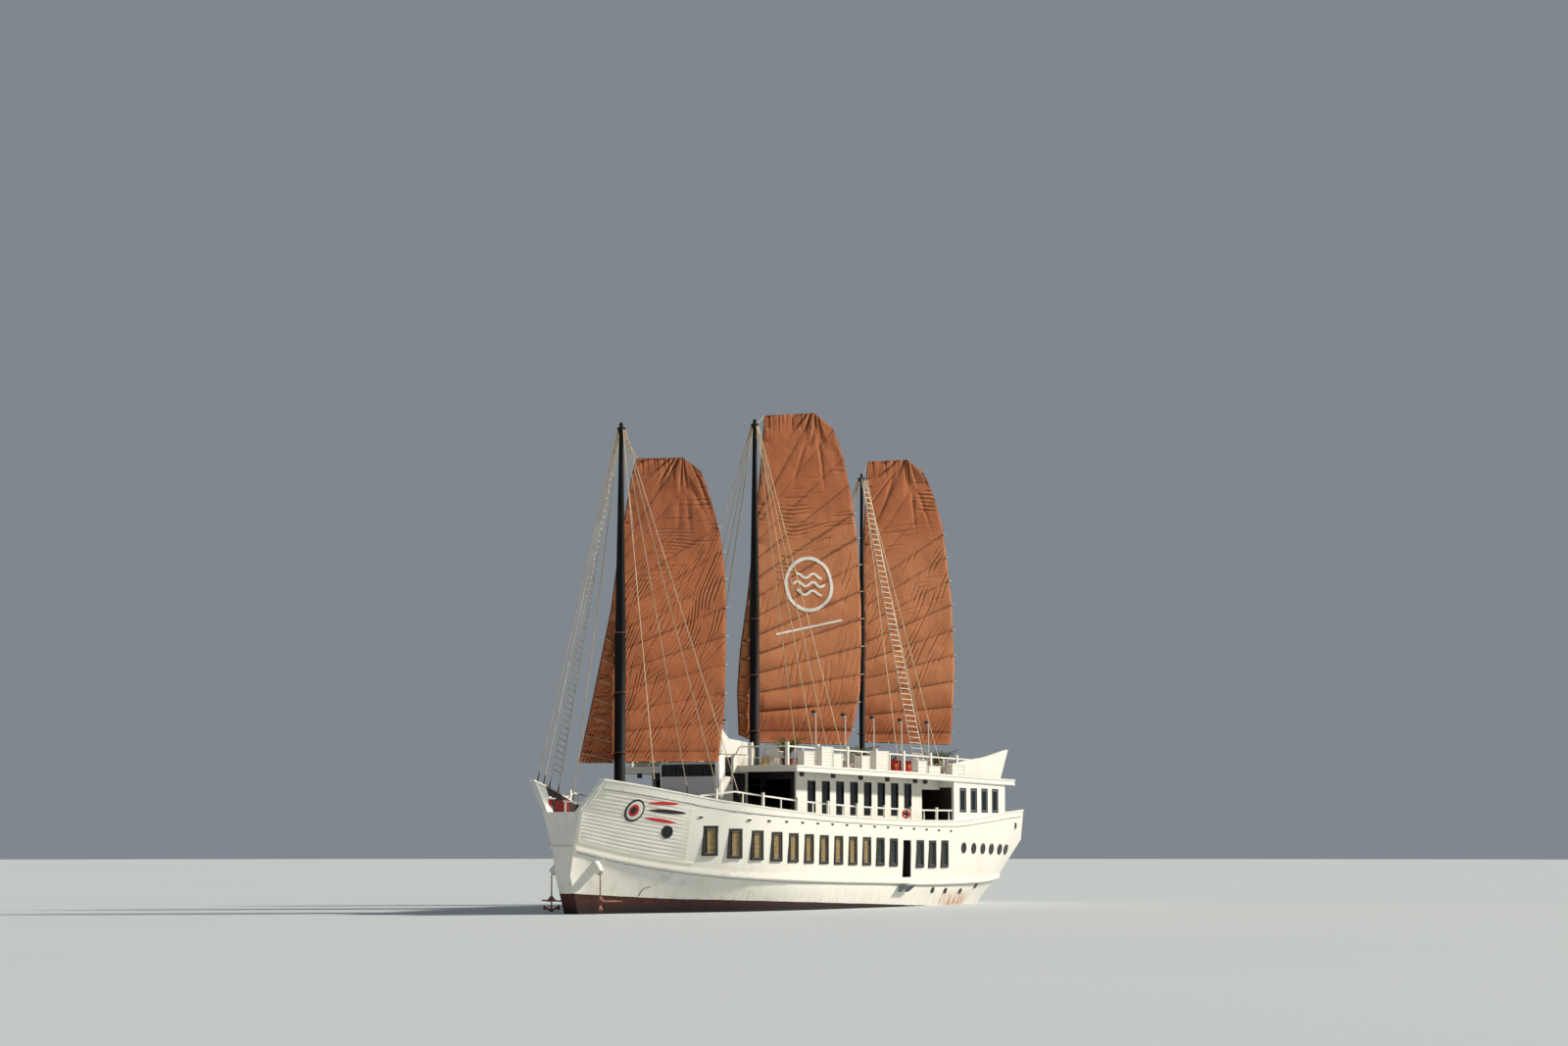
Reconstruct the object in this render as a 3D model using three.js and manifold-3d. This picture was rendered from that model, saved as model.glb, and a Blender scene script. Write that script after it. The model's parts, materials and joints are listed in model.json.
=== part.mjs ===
// Chinese junk: a steel cruise junk of about 37 m with three masts, afloat.
// Millimetres. +X is the bow, +Y is port, +Z is up, origin amidships on the waterline.
import * as THREE from 'three';
import { mergeVertices } from 'three/addons/utils/BufferGeometryUtils.js';
import Module from 'manifold-3d';

const wasm = await Module();
wasm.setup();

// Driving dimensions
const GAP = 0.3;              // between pieces that bear on each other
const DECK_Z = 3900;          // main deck
const BULWARK = 200;          // thickness of the bulwark and the bow
const STATIONS = 45;          // sections of the hull
const WALL = 110;             // house walls
const ROOF = { bow: 6340, stern: -17000, half: 4990, aftHalf: 4700, thick: 260 };
const ROOF_UNDER = { bowZ: 6560, sternZ: 6230 };
const SAIL_ANGLE = 30;        // leech swung to port of the centreline, degrees
const CLOTH = { near: 335, thick: 30 };   // offset to starboard of the mast's axis
const LOOSE = 8;              // clearance at a hinge or a collar

// Colours
const COLOURS = {
  white: [0xe9e6dc, 0.45, 0.0], hull: [0xe4e2d8, 0.5, 0.0], grey: [0x8f9494, 0.6, 0.1],
  black: [0x15151a, 0.5, 0.0], sail: [0x9c5333, 0.9, 0.0], rope: [0xb9a78c, 0.9, 0.0],
  bamboo: [0x6b3f28, 0.8, 0.0], rust: [0x6a3d2a, 0.85, 0.4], bronze: [0xa77f3f, 0.35, 1.0],
  antifoul: [0x5e241c, 0.8, 0.0], red: [0x8c1f18, 0.6, 0.0], dark: [0x2a2a2a, 0.6, 0.2],
};

// Hull lines. Each level has its half breadth y against x, from stern to bow.
const CAP_Z = [[-18600, 4860], [-16540, 4730], [-12640, 4420], [-9620, 4250], [-6820, 4240],
  [-1580, 4310], [3260, 4440], [7680, 4670], [11080, 4960], [13720, 5340], [16400, 5730], [18180, 5950]];
const RUB_Z = [[-17300, 1500], [-12820, 1220], [-6980, 1180], [-1740, 1310], [3100, 1410],
  [7520, 1550], [10740, 1710], [13360, 1990], [16020, 2420], [18450, 2960]];
const BELT_SHARE = 0.55;      // height of the belt line between rub rail and cap
const LEVELS = {
  cap: { y: [[-18600, 4400], [-16800, 4600], [-13000, 4850], [-9000, 5050], [-4000, 5150], [1000, 5200],
    [5000, 5170], [8000, 5060], [10500, 4720], [12500, 3930], [14500, 3220], [16500, 2560], [18180, 2000]],
    z: CAP_Z },
  belt: { y: [[-18500, 4300], [-16800, 4520], [-13000, 4830], [-9000, 5030], [-4000, 5140], [1000, 5170],
    [5000, 5140], [7600, 5060], [9770, 4740], [11070, 4360], [12400, 3800], [14500, 2900], [16500, 1980],
    [18600, 1000]], z: null },
  rub: { y: [[-17300, 3500], [-16000, 4150], [-13000, 4680], [-9000, 4950], [-4000, 5060], [1000, 5120],
    [4500, 5100], [7100, 5010], [8470, 4850], [9770, 4580], [11070, 4200], [12240, 3640], [14500, 2480],
    [16500, 1500], [18450, 590]], z: RUB_Z },
  knuckle: { y: [[-16900, 3200], [-15500, 3900], [-12500, 4450], [-8000, 4820], [-2000, 4950], [3000, 4950],
    [6500, 4800], [9000, 4450], [11000, 3850], [13500, 2700], [16000, 1450], [18440, 400]],
    z: [[-16900, 1000], [-12000, 700], [-2000, 650], [6500, 800], [12000, 1150], [18440, 1700]] },
  water: { y: [[-16300, 2790], [-14500, 3500], [-12000, 4150], [-8000, 4600], [-2000, 4750], [3000, 4700],
    [6500, 4450], [9000, 4000], [11000, 3350], [13500, 2200], [16000, 1080], [17760, 380]],
    z: [[-16300, 0], [17760, 0]] },
  bilge: { y: [[-15900, 1700], [-13500, 2600], [-11000, 3300], [-7000, 4000], [-2000, 4300], [3000, 4200],
    [6500, 3800], [9000, 3150], [11500, 2250], [14000, 1250], [16000, 500], [17100, 180]],
    z: [[-15900, -150], [-12000, -500], [-8000, -850], [-2000, -950], [9000, -950], [17100, -900]] },
  bottom: { y: [[-15500, 700], [-13500, 1100], [-11000, 1500], [-7000, 2400], [-2000, 3100], [3000, 3000],
    [6500, 2400], [9000, 1700], [11500, 1000], [14000, 480], [16600, 120]],
    z: [[-15500, -330], [-12000, -900], [-8000, -1350], [-3000, -1600], [9000, -1600], [13000, -1500],
      [16600, -1300]] },
};
const KEEL_LINE = [[-15400, -450], [-12000, -1080], [-8000, -1500], [-3000, -1750], [9000, -1750],
  [13000, -1650], [16500, -1400]];

// Openings in the hull's sides
const WINDOW = { wide: 830, high: 1370, deep: 110, pitch: 1375, sternmost: -2805, count: 12, aboveRub: 1420 };
const AFT_WINDOWS = [-5620, -6980, -8370];
const DOORWAY = { x: -4240, wide: 860, sill: 1460, head: 3300, deep: 1250 };

// Houses
const DECKHOUSE = { bow: 4900, stern: -7700, half: 4100 };
const SALOON_WINDOWS = { first: 3450, pitch: 1380, count: 8, wide: 800, sill: 4500, head: 6150 };
const AFTHOUSE = { bow: -9600, stern: -15950, half: 4940, sternHalf: 4650 };
const AFT_PANES = { first: -10700, pitch: 1330, count: 4, wide: 820, sill: 4720, head: 5980 };
const WHEELHOUSE = { bow: 8070, stern: 5400, half: 1710, corner: 330, top: 7370, floor: 5150 };
const PILOT_BAND = { sill: 6300, head: 6880, half: 1500 };
const PILOT_DOOR = { bow: 7560, stern: 6850, sill: 5150, head: 7300, thick: 45, paneSill: 6300 };
const COMPANIONWAY = { bow: 6750, stern: 5560, head: 6480 };   // open passage under the wheelhouse
const BRIDGE = { bow: 8060, stern: 5500, half: 1760, floor: 7370, rim: 7980, peak: 8610, wall: 60 };
const FIN = { y: 4590, thick: 100 };
const SUN_RAIL = { half: 4400, bow: 6250, stern: -15000, high: 910, post: 2860, knob: 200, frontPost: 2410 };
const LAMP_POLES = { first: 1, last: 5, high: 2620, inboard: 90, radius: 35 };

// Air units on the sun deck's edge: middle, width, height, with their inner and outer faces
const UNIT_FACES = { inner: 4600, outer: 4940 };
const UNITS = [[5120, 1010, 680], [3410, 1080, 950], [2370, 890, 660], [-350, 810, 650], [-2040, 1290, 950],
  [-6200, 970, 620], [-7520, 1260, 400], [-10100, 1400, 570]];

// Masts: place, foot, top, radius at foot and top
const MASTS = {
  fore: { x: 13910, foot: DECK_Z, top: 22580, r0: 260, r1: 90 },
  main: { x: 1980, foot: 6770, top: 24060, r0: 240, r1: 90 },
  mizzen: { x: -8810, foot: 6620, top: 22400, r0: 150, r1: 70 },
};
// Sails: distance aft of the mast and height of each corner, then the leech's curve from head to foot
const SAILS = {
  fore: { luff: [[-1870, 6830], [-1200, 9700], [-280, 13880], [100, 16580], [780, 20240], [1040, 21000]],
    leech: [[3400, 21180], [4380, 20560], [4910, 19240], [5390, 17730], [5650, 15930], [5710, 14390],
      [5710, 12400], [5660, 9660], [5560, 8730], [5310, 6950]], foot: 7300 },
  main: { luff: [[300, 8100], [-650, 8440], [-740, 10530], [-580, 12610], [-170, 15240], [460, 20730],
    [730, 23650], [790, 24340]],
    leech: [[3610, 24640], [4700, 23910], [5270, 22530], [5730, 20610], [6100, 18340], [6300, 15160],
      [6320, 13020], [6230, 10740], [5880, 9100], [5470, 8060]], foot: 8620 },
  mizzen: { luff: [[200, 8380], [230, 12000], [300, 18000], [610, 23100]],
    leech: [[3010, 23330], [4030, 22680], [4640, 21510], [5200, 19810], [5500, 17780], [5730, 15800],
      [5900, 12460], [5760, 9950], [5620, 8330]], foot: 8800 },
};
const BATTENS = { count: 9, atMast: 920, atLeech: 1340, lift: 150, radius: 38 };
const YARD = { footShare: 0.68, radius: 55 };
const ROPE = { radius: 17, sides: 6 };
// Feet of the stays, on the port side unless the row says otherwise
const STAYS = {
  fore_port: { mast: 'fore', side: 1, feet: [15220, 13420, 11740, 10560], on: 'cap' },
  fore_stbd: { mast: 'fore', side: -1, feet: [17580, 16680, 15800, 14440, 11740], on: 'cap' },
  main_port: { mast: 'main', side: 1, feet: [4900, 3150, 1680, 210], on: 'roof' },
  main_stbd: { mast: 'main', side: -1, feet: [4900, 3150, 1680, 210], on: 'roof' },
  mizzen_port: { mast: 'mizzen', side: 1, feet: [-5150, -6880, -8500, -9820], on: 'roof' },
  mizzen_stbd: { mast: 'mizzen', side: -1, feet: [-5150, -6880, -8500, -9820], on: 'roof' },
};
const STAY_FOOT = { capInset: 182, roofY: 4200 };

// Underwater gear
const SKEG = { bow: -6500, stern: -13150, half: 90, bottom: -2050 };
const PROP = { x: -13150, z: -1500, radius: 440, hub: 100, blades: 4, shaft: 50 };
const RUDDER = { x: -14650, stock: 75, bow: -14330, stern: -15650, top: -760, bottom: -1950, half: 60 };

const v3 = (x, y, z) => new THREE.Vector3(x, y, z);

// A curve through table rows [x, value] with no overshoot between them
function curveAt(rows, x) {
  const last = rows.length - 1;
  if (x <= rows[0][0]) return rows[0][1];
  if (x >= rows[last][0]) return rows[last][1];
  let i = 0;
  while (rows[i + 1][0] < x) i += 1;
  const slope = (k) => (rows[k + 1][1] - rows[k][1]) / (rows[k + 1][0] - rows[k][0]);
  const tangent = (k) => {
    if (k === 0) return slope(0);
    if (k === last) return slope(last - 1);
    const [a, b] = [slope(k - 1), slope(k)];
    return a * b <= 0 ? 0 : 2 * a * b / (a + b);
  };
  const h = rows[i + 1][0] - rows[i][0];
  const t = (x - rows[i][0]) / h;
  const [t2, t3] = [t * t, t * t * t];
  return (2 * t3 - 3 * t2 + 1) * rows[i][1] + (t3 - 2 * t2 + t) * h * tangent(i)
    + (3 * t2 - 2 * t3) * rows[i + 1][1] + (t3 - t2) * h * tangent(i + 1);
}

const beltZ = (x) => curveAt(RUB_Z, x) + BELT_SHARE * (curveAt(CAP_Z, x) - curveAt(RUB_Z, x));

// The point of one hull level at a share u of its length from stern to bow
function levelPoint(name, u) {
  const { y, z } = LEVELS[name];
  const x = THREE.MathUtils.lerp(y[0][0], y[y.length - 1][0], u);
  return v3(x, curveAt(y, x), z ? curveAt(z, x) : beltZ(x));
}

// A closed skin over rings of points; each end is closed by joining the ring's two halves
function loft(rings) {
  const count = rings[0].length;
  const index = [];
  const quad = (a, b, c, d) => index.push(a, b, c, a, c, d);
  for (let i = 0; i + 1 < rings.length; i += 1) {
    for (let j = 0; j < count; j += 1) {
      const k = (j + 1) % count;
      quad(i * count + j, i * count + k, (i + 1) * count + k, (i + 1) * count + j);
    }
  }
  const top = (rings.length - 1) * count;
  for (let j = 0; j < Math.floor(count / 2); j += 1) {
    const m = count - 1 - j;
    if (m - j < 2) continue;
    if (m - 1 === j + 1) {
      index.push(j, m, j + 1, top + j, top + j + 1, top + m);
    } else {
      quad(j, m, m - 1, j + 1);
      quad(top + j, top + j + 1, top + m - 1, top + m);
    }
  }
  const geometry = new THREE.BufferGeometry();
  geometry.setAttribute('position', new THREE.Float32BufferAttribute(rings.flat().flatMap((p) => p.toArray()), 3));
  geometry.setIndex(index);
  return geometry;
}

function solid(geometry) {
  const plain = geometry.clone();
  plain.deleteAttribute('normal');
  plain.deleteAttribute('uv');
  const merged = mergeVertices(plain, 0.001);
  const build = (tri) => new wasm.Manifold(new wasm.Mesh({
    numProp: 3, vertProperties: merged.attributes.position.array, triVerts: tri }));
  const tri = Uint32Array.from(merged.index.array);
  const made = build(tri);
  return made.volume() > 0 ? made : build(tri.reverse());
}

function geometryOf(manifold) {
  const mesh = manifold.getMesh();
  const geometry = new THREE.BufferGeometry();
  geometry.setAttribute('position', new THREE.Float32BufferAttribute(mesh.vertProperties, 3));
  geometry.setIndex(new THREE.Uint32BufferAttribute(mesh.triVerts, 1));
  const flat = geometry.toNonIndexed();
  flat.computeVertexNormals();
  return flat;
}

const join = (list) => list.reduce((a, b) => a.add(b));
const cut = (body, list) => list.reduce((a, b) => a.subtract(b), body);

// Cuts a neighbour away with a small gap all round
function clearOf(body, neighbour) {
  const shifts = [[0, 0, 1], [0, 0, -1], [0, 1, 0], [0, -1, 0], [1, 0, 0], [-1, 0, 0]];
  return cut(body, shifts.map((step) => neighbour.translate(...step.map((k) => k * GAP))));
}

function box(x0, x1, y0, y1, z0, z1) {
  const geometry = new THREE.BoxGeometry(x1 - x0, y1 - y0, z1 - z0);
  return solid(geometry.translate((x0 + x1) / 2, (y0 + y1) / 2, (z0 + z1) / 2));
}

// A round bar between two points
function bar(from, to, r0, r1 = r0, sides = 8) {
  const along = to.clone().sub(from);
  const geometry = new THREE.CylinderGeometry(r1, r0, along.length(), sides);
  geometry.applyQuaternion(new THREE.Quaternion().setFromUnitVectors(v3(0, 1, 0), along.clone().normalize()));
  const middle = from.clone().add(to).multiplyScalar(0.5);
  return solid(geometry.translate(middle.x, middle.y, middle.z));
}

function extrude(points, depth) {
  return new THREE.ExtrudeGeometry(new THREE.Shape(points.map(([a, b]) => new THREE.Vector2(a, b))),
    { depth, bevelEnabled: false, curveSegments: 6 });
}
const prismXY = (points, z0, z1) => solid(extrude(points, z1 - z0).translate(0, 0, z0));
const prismXZ = (points, y0, y1) => solid(extrude(points, y1 - y0).rotateX(Math.PI / 2).translate(0, y1, 0));
const prismYZ = (points, x0, x1) => solid(extrude(points, x1 - x0)
  .applyMatrix4(new THREE.Matrix4().makeBasis(v3(0, 1, 0), v3(0, 0, 1), v3(1, 0, 0))).translate(x0, 0, 0));

// Station shares, the same for the hull and all that follows its edge
const SHARES = Array.from({ length: STATIONS }, (_, i) => i / (STATIONS - 1));

// The hull's edge is straight between stations
function capAt(x) {
  const points = SHARES.map((u) => levelPoint('cap', u));
  let i = 0;
  while (i < points.length - 2 && points[i + 1].x < x) i += 1;
  const t = (x - points[i].x) / (points[i + 1].x - points[i].x);
  return points[i].clone().lerp(points[i + 1], t);
}

const mirrored = (points) => [...points, ...points.slice().reverse().map((p) => v3(p.x, -p.y, p.z))];

function hullSkin() {
  const names = ['cap', 'belt', 'rub', 'knuckle', 'water', 'bilge', 'bottom'];
  return loft(SHARES.map((u) => {
    const side = names.map((name) => levelPoint(name, u));
    const x = side[side.length - 1].x;
    const keel = v3(x, 0, curveAt(KEEL_LINE, x));
    return [...side, keel, ...side.slice().reverse().map((p) => v3(p.x, -p.y, p.z))];
  }));
}

// Half breadth of the hull at a height between the cap and the rub rail
function breadthAt(x, z) {
  const [cap, belt, rub] = ['cap', 'belt', 'rub'].map((name) => curveAt(LEVELS[name].y, x));
  const [capZ, middleZ, rubZ] = [curveAt(CAP_Z, x), beltZ(x), curveAt(RUB_Z, x)];
  if (z > middleZ) return belt + (cap - belt) * (z - middleZ) / (capZ - middleZ);
  return rub + (belt - rub) * (z - rubZ) / (middleZ - rubZ);
}

// The space above the deck and inside the bulwarks
function well() {
  const [aft, fore] = [-18350, 18150];
  return solid(loft(SHARES.map((u) => {
    const x = THREE.MathUtils.lerp(aft, fore, u);
    const low = v3(x, breadthAt(x, DECK_Z) - BULWARK, DECK_Z);
    const rise = 1600;
    const capZ = curveAt(CAP_Z, x);
    const high = curveAt(LEVELS.cap.y, x) - BULWARK;
    const lean = (high - low.y) / (capZ - DECK_Z);
    return mirrored([v3(x, high + lean * (DECK_Z + rise + 1200 - capZ), DECK_Z + rise + 1200), low]);
  })));
}

// Places of the lower windows, a pitch apart along the ship's side
function windowPlaces() {
  const places = [];
  let x = WINDOW.sternmost;
  for (let i = 0; i < WINDOW.count; i += 1) {
    places.push(x);
    const slope = (breadthAt(x + 200, 3000) - breadthAt(x - 200, 3000)) / 400;
    x += WINDOW.pitch / Math.hypot(1, slope);
  }
  return [...places, ...AFT_WINDOWS];
}

function windowPocket(x, side) {
  const z = curveAt(RUB_Z, x) + WINDOW.aboveRub;
  const ahead = v3(x + 200, breadthAt(x + 200, z), 0);
  const behind = v3(x - 200, breadthAt(x - 200, z), 0);
  const turn = Math.atan2(ahead.y - behind.y, ahead.x - behind.x);
  const geometry = new THREE.BoxGeometry(WINDOW.wide, 2 * WINDOW.deep, WINDOW.high);
  geometry.rotateZ(turn * side).translate(x, side * breadthAt(x, z), z);
  return solid(geometry);
}

function hull() {
  const shell = solid(hullSkin());
  const notch = prismYZ([[-740, 4550], [740, 4550], [2150, 6520], [-2150, 6520]], 17300, 19200);
  const pockets = [1, -1].flatMap((side) => windowPlaces().map((x) => windowPocket(x, side)));
  const lobby = box(DOORWAY.x - DOORWAY.wide / 2, DOORWAY.x + DOORWAY.wide / 2, 5400 - DOORWAY.deep, 5400,
    DOORWAY.sill, DOORWAY.head);
  const stock = bar(v3(RUDDER.x, 0, -1200), v3(RUDDER.x, 0, 350), RUDDER.stock + LOOSE, RUDDER.stock + LOOSE, 20);
  const pipes = hawsePlaces().map(([from, to]) => bar(from, to, HAWSE.radius + GAP, HAWSE.mouth + GAP, 16));
  return cut(shell, [well(), notch, ...pockets, lobby, stock, ...pipes]);
}

// Rails along the hull's side, cut to the plating with a small gap
function rubRail(hullBody, side) {
  const [thick, high] = [100, 110];
  const rings = SHARES.map((u) => {
    const p = levelPoint('rub', u);
    return [v3(p.x, side * (p.y - 120), p.z + high), v3(p.x, side * (p.y + thick), p.z + high * 0.8),
      v3(p.x, side * (p.y + thick), p.z - high * 0.8), v3(p.x, side * (p.y - 120), p.z - high)];
  });
  return clearOf(solid(loft(rings)), hullBody);
}

const GUARD = { bow: 12900, stern: -9350, high: 560, capHigh: 70, pitch: 1400, first: 12000 };

function capRail(side) {
  const over = 45;
  return solid(loft(SHARES.map((u) => {
    const p = levelPoint('cap', u);
    const [outer, inner] = [p.y + over, p.y - BULWARK - 20];
    return [v3(p.x, side * outer, p.z + GAP), v3(p.x, side * outer, p.z + GUARD.capHigh),
      v3(p.x, side * inner, p.z + GUARD.capHigh), v3(p.x, side * inner, p.z + GAP)];
  })));
}

// Cap rail with its posts and hand rail
function guardRail(side) {
  const railAt = (x) => {
    const p = capAt(x);
    const taper = THREE.MathUtils.clamp((GUARD.bow - x) / 1200, 0.16, 1);
    return v3(x, side * (p.y - 90), p.z + GUARD.high * taper);
  };
  const [half, steps] = [36, 12];
  const rings = Array.from({ length: steps + 1 }, (_, i) => {
    const p = railAt(THREE.MathUtils.lerp(GUARD.bow, GUARD.stern, i / steps));
    return [[1, 1], [1, -1], [-1, -1], [-1, 1]].map(([y, z]) => v3(p.x, p.y + y * half, p.z + z * half));
  });
  const pieces = [capRail(side), solid(loft(rings))];
  for (let i = 0, x = GUARD.first; x > GUARD.stern; i += 1, x -= GUARD.pitch) {
    const p = railAt(x);
    const tall = i % 2 === 0;
    const wide = tall ? 52 : 27;
    pieces.push(box(x - wide, x + wide, p.y - wide, p.y + wide, capAt(x).z + 20, p.z + (tall ? 150 : 0)));
  }
  return join(pieces);
}

// The roof's underside slopes down towards the stern
const roofUnder = (x) => THREE.MathUtils.lerp(ROOF_UNDER.sternZ, ROOF_UNDER.bowZ,
  (x - ROOF.stern) / (ROOF.bow - ROOF.stern));
const roofTop = (x) => roofUnder(x) + ROOF.thick;

function aboveRoofLine() {
  const [x0, x1] = [-20000, 10000];
  return prismXZ([[x0, roofUnder(x0) - GAP], [x1, roofUnder(x1) - GAP], [x1, 12000], [x0, 12000]], -6000, 6000);
}

function roof() {
  const slab = prismXZ([[ROOF.stern, roofUnder(ROOF.stern)], [ROOF.bow, roofUnder(ROOF.bow)],
    [ROOF.bow, roofTop(ROOF.bow)], [ROOF.stern, roofTop(ROOF.stern)]], -6000, 6000);
  const plan = prismXY([[ROOF.bow, -ROOF.half], [ROOF.bow, ROOF.half], [-9500, ROOF.half],
    [ROOF.stern, ROOF.aftHalf], [ROOF.stern, -ROOF.aftHalf], [-9500, -ROOF.half]], 5000, 8000);
  const trunk = box(WHEELHOUSE.stern - GAP, ROOF.bow + 100, -WHEELHOUSE.half - GAP, WHEELHOUSE.half + GAP,
    5000, 8000);
  return cut(slab.intersect(plan), [trunk]);
}

function sideWindows(row, half) {
  return Array.from({ length: row.count }, (_, i) => {
    const x = row.first - i * row.pitch;
    return box(x - row.wide / 2, x + row.wide / 2, -half, half, row.sill, row.head);
  });
}

function deckhouse() {
  const { bow, stern, half } = DECKHOUSE;
  const block = box(stern, bow, -half, half, DECK_Z + GAP, 7500);
  const room = box(stern + WALL, bow - WALL, -half + WALL, half - WALL, DECK_Z - 50, 7600);
  const frontOpenings = [[-3800, -2300], [-2100, -600], [600, 2100], [2300, 3800]].map(
    ([y0, y1]) => box(bow - 300, bow + 100, y0, y1, DECK_Z + 120, 6200));
  const aftDoor = box(stern - 100, stern + 300, -700, 700, DECK_Z - 50, 6050);
  return cut(block, [room, aboveRoofLine(), ...sideWindows(SALOON_WINDOWS, 6000), ...frontOpenings, aftDoor]);
}

// All that is lower than the top of the cap rail
function belowCapLine() {
  const line = SHARES.map((u) => levelPoint('cap', u)).map((p) => [p.x, p.z + GUARD.capHigh + GAP]);
  return prismXZ([[line[0][0], 0], ...line, [line[line.length - 1][0], 0]].reverse(), -6000, 6000);
}

function afthouse() {
  const { bow, stern, half, sternHalf } = AFTHOUSE;
  const plan = (inset) => [[bow - inset, -half + inset], [bow - inset, half - inset],
    [stern + inset, sternHalf - inset], [stern + inset, -sternHalf + inset]];
  const sides = prismXY(plan(0), DECK_Z + 300, 7500).subtract(prismXY(plan(WALL), DECK_Z - 50, 7600));
  const ends = [box(bow - WALL, bow, -half + 360, half - 360, DECK_Z + GAP, DECK_Z + 1500),
    box(stern, stern + WALL, -sternHalf + 360, sternHalf - 360, DECK_Z + GAP, DECK_Z + 1500)];
  const frontDoors = [-1, 1].map((side) => box(bow - 300, bow + 100, side * 2200 - 700, side * 2200 + 700,
    DECK_Z - 50, 6000));
  const walls = join([cut(sides, [belowCapLine()]), ...ends]);
  return cut(walls, [aboveRoofLine(), ...sideWindows(AFT_PANES, 6000), ...frontDoors]);
}

// The rounded plan of the wheelhouse, drawn in by an inset
function wheelhousePlan(inset) {
  const { bow, stern, half, corner } = WHEELHOUSE;
  const [x1, x0, y] = [bow - inset, stern + inset, half - inset];
  const arc = [0, 1, 2, 3, 4].map((i) => {
    const a = i / 4 * Math.PI / 2;
    return [x1 - corner + corner * Math.cos(a), y - corner + corner * Math.sin(a)];
  });
  return [...arc, [x0, y], [x0, -y], ...arc.slice().reverse().map(([x, b]) => [x, -b])];
}

function wheelhouse() {
  const { bow, stern, half, top } = WHEELHOUSE;
  const block = prismXY(wheelhousePlan(0), DECK_Z + GAP, top);
  const room = prismXY(wheelhousePlan(WALL), DECK_Z - 50, top + 50);
  const band = box(bow - 300, bow + 100, -PILOT_BAND.half, PILOT_BAND.half, PILOT_BAND.sill, PILOT_BAND.head);
  const door = box(PILOT_DOOR.stern - 5, PILOT_DOOR.bow + 5, half - 300, half + 100,
    PILOT_DOOR.sill - 5, PILOT_DOOR.head + 5);
  const stbdPane = box(PILOT_DOOR.stern, PILOT_DOOR.bow, -half - 100, -half + 300, PILOT_DOOR.paneSill,
    PILOT_DOOR.head);
  const passage = box(COMPANIONWAY.stern, COMPANIONWAY.bow, -half - 100, half + 100, DECK_Z - 50,
    COMPANIONWAY.head);
  const arch = box(stern - 100, stern + 300, -800, 800, DECK_Z - 50, COMPANIONWAY.head);
  return cut(block, [room, band, door, stbdPane, passage, arch]);
}

function wheelhouseFloor() {
  const { floor } = WHEELHOUSE;
  const aft = box(0, COMPANIONWAY.bow + 30, -5000, 5000, floor - 200, floor + 200);
  return prismXY(wheelhousePlan(WALL + GAP), floor - 90, floor - 10).subtract(aft);
}

function pilotDoor() {
  const { bow, stern, sill, head, thick, paneSill } = PILOT_DOOR;
  const y = WHEELHOUSE.half;
  const leaf = box(stern, bow, y - thick, y, sill, head);
  return cut(leaf, [box(stern + 80, bow - 80, y - 200, y + 100, paneSill, head - 80)]);
}

// Open bridge on the wheelhouse roof, its front coaming swept up to a peak
function bridge() {
  const { bow, stern, half, floor, rim, peak, wall } = BRIDGE;
  const side = prismXZ([[stern, floor + GAP], [bow, floor + GAP], [bow - 190, peak], [bow - 420, peak - 230],
    [bow - 850, rim + 110], [stern, rim - 20]], -half, half);
  const room = box(stern - 100, bow - wall - 200, -half + wall, half - wall, floor + 120, 9000);
  const corners = [1, -1].map((k) => prismXY([[bow - 260, k * (half + 20)], [bow + 20, k * (half + 20)],
    [bow + 20, k * (half - 260)], [bow - 70, k * (half - 70)]], floor - 100, 9000));
  return cut(side, [room, ...corners]);
}

function fin(side) {
  const profile = [[-9700, roofTop(-9700) + GAP], [-15560, roofTop(-15560) + GAP], [-16460, 8080], [-16160, 8060],
    [-14900, 7840], [-13760, 7630], [-12090, 7460], [-9700, 7140]];
  const faces = [side * (FIN.y - FIN.thick), side * FIN.y].sort((a, b) => a - b);
  return prismXZ(profile, ...faces);
}

// Rail round the sun deck: hand rail, stout posts with thin ones between them, and lamp poles
function sunRail() {
  const { half, bow, stern, high, post, knob, frontPost } = SUN_RAIL;
  const r = 36;
  const line = (x, up) => [x, roofTop(x) + high + up * r];
  const pieces = [];
  const stand = (x, y, wide, rise) => pieces.push(box(x - wide / 2, x + wide / 2, y - wide / 2, y + wide / 2,
    roofTop(x + wide / 2) + GAP, roofTop(x) + high + rise));
  for (const side of [1, -1]) {
    pieces.push(prismXZ([line(stern, -1), line(bow, -1), line(bow, 1), line(stern, 1)],
      side * half - r, side * half + r));
    const ends = [side * (BRIDGE.half + 30), side * half].sort((a, b) => a - b);
    pieces.push(box(bow - r, bow + r, ends[0], ends[1], line(bow, -1)[1], line(bow, 1)[1]));
    stand(bow, side * frontPost, 150, knob);
    for (let i = 0, x = bow; x > stern; i += 1, x -= post) {
      stand(x, side * half, 150, knob);
      if (x - post / 2 > stern) stand(x - post / 2, side * half, 70, 0);
      if (i >= LAMP_POLES.first && i <= LAMP_POLES.last) pieces.push(lampPole(x, side));
    }
    stand(stern, side * half, 150, knob);
  }
  pieces.push(box(stern - r, stern + r, -half, half, line(stern, -1)[1], line(stern, 1)[1]));
  [-1500, 1500].forEach((y) => stand(stern, y, 70, 0));
  return join(pieces);
}

function lampPole(x, side) {
  const { high, inboard, radius } = LAMP_POLES;
  const y = side * (SUN_RAIL.half - inboard);
  return bar(v3(x, y, roofTop(x) + 300), v3(x, y, roofTop(x) + high), radius, radius * 0.8, 6);
}

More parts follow.
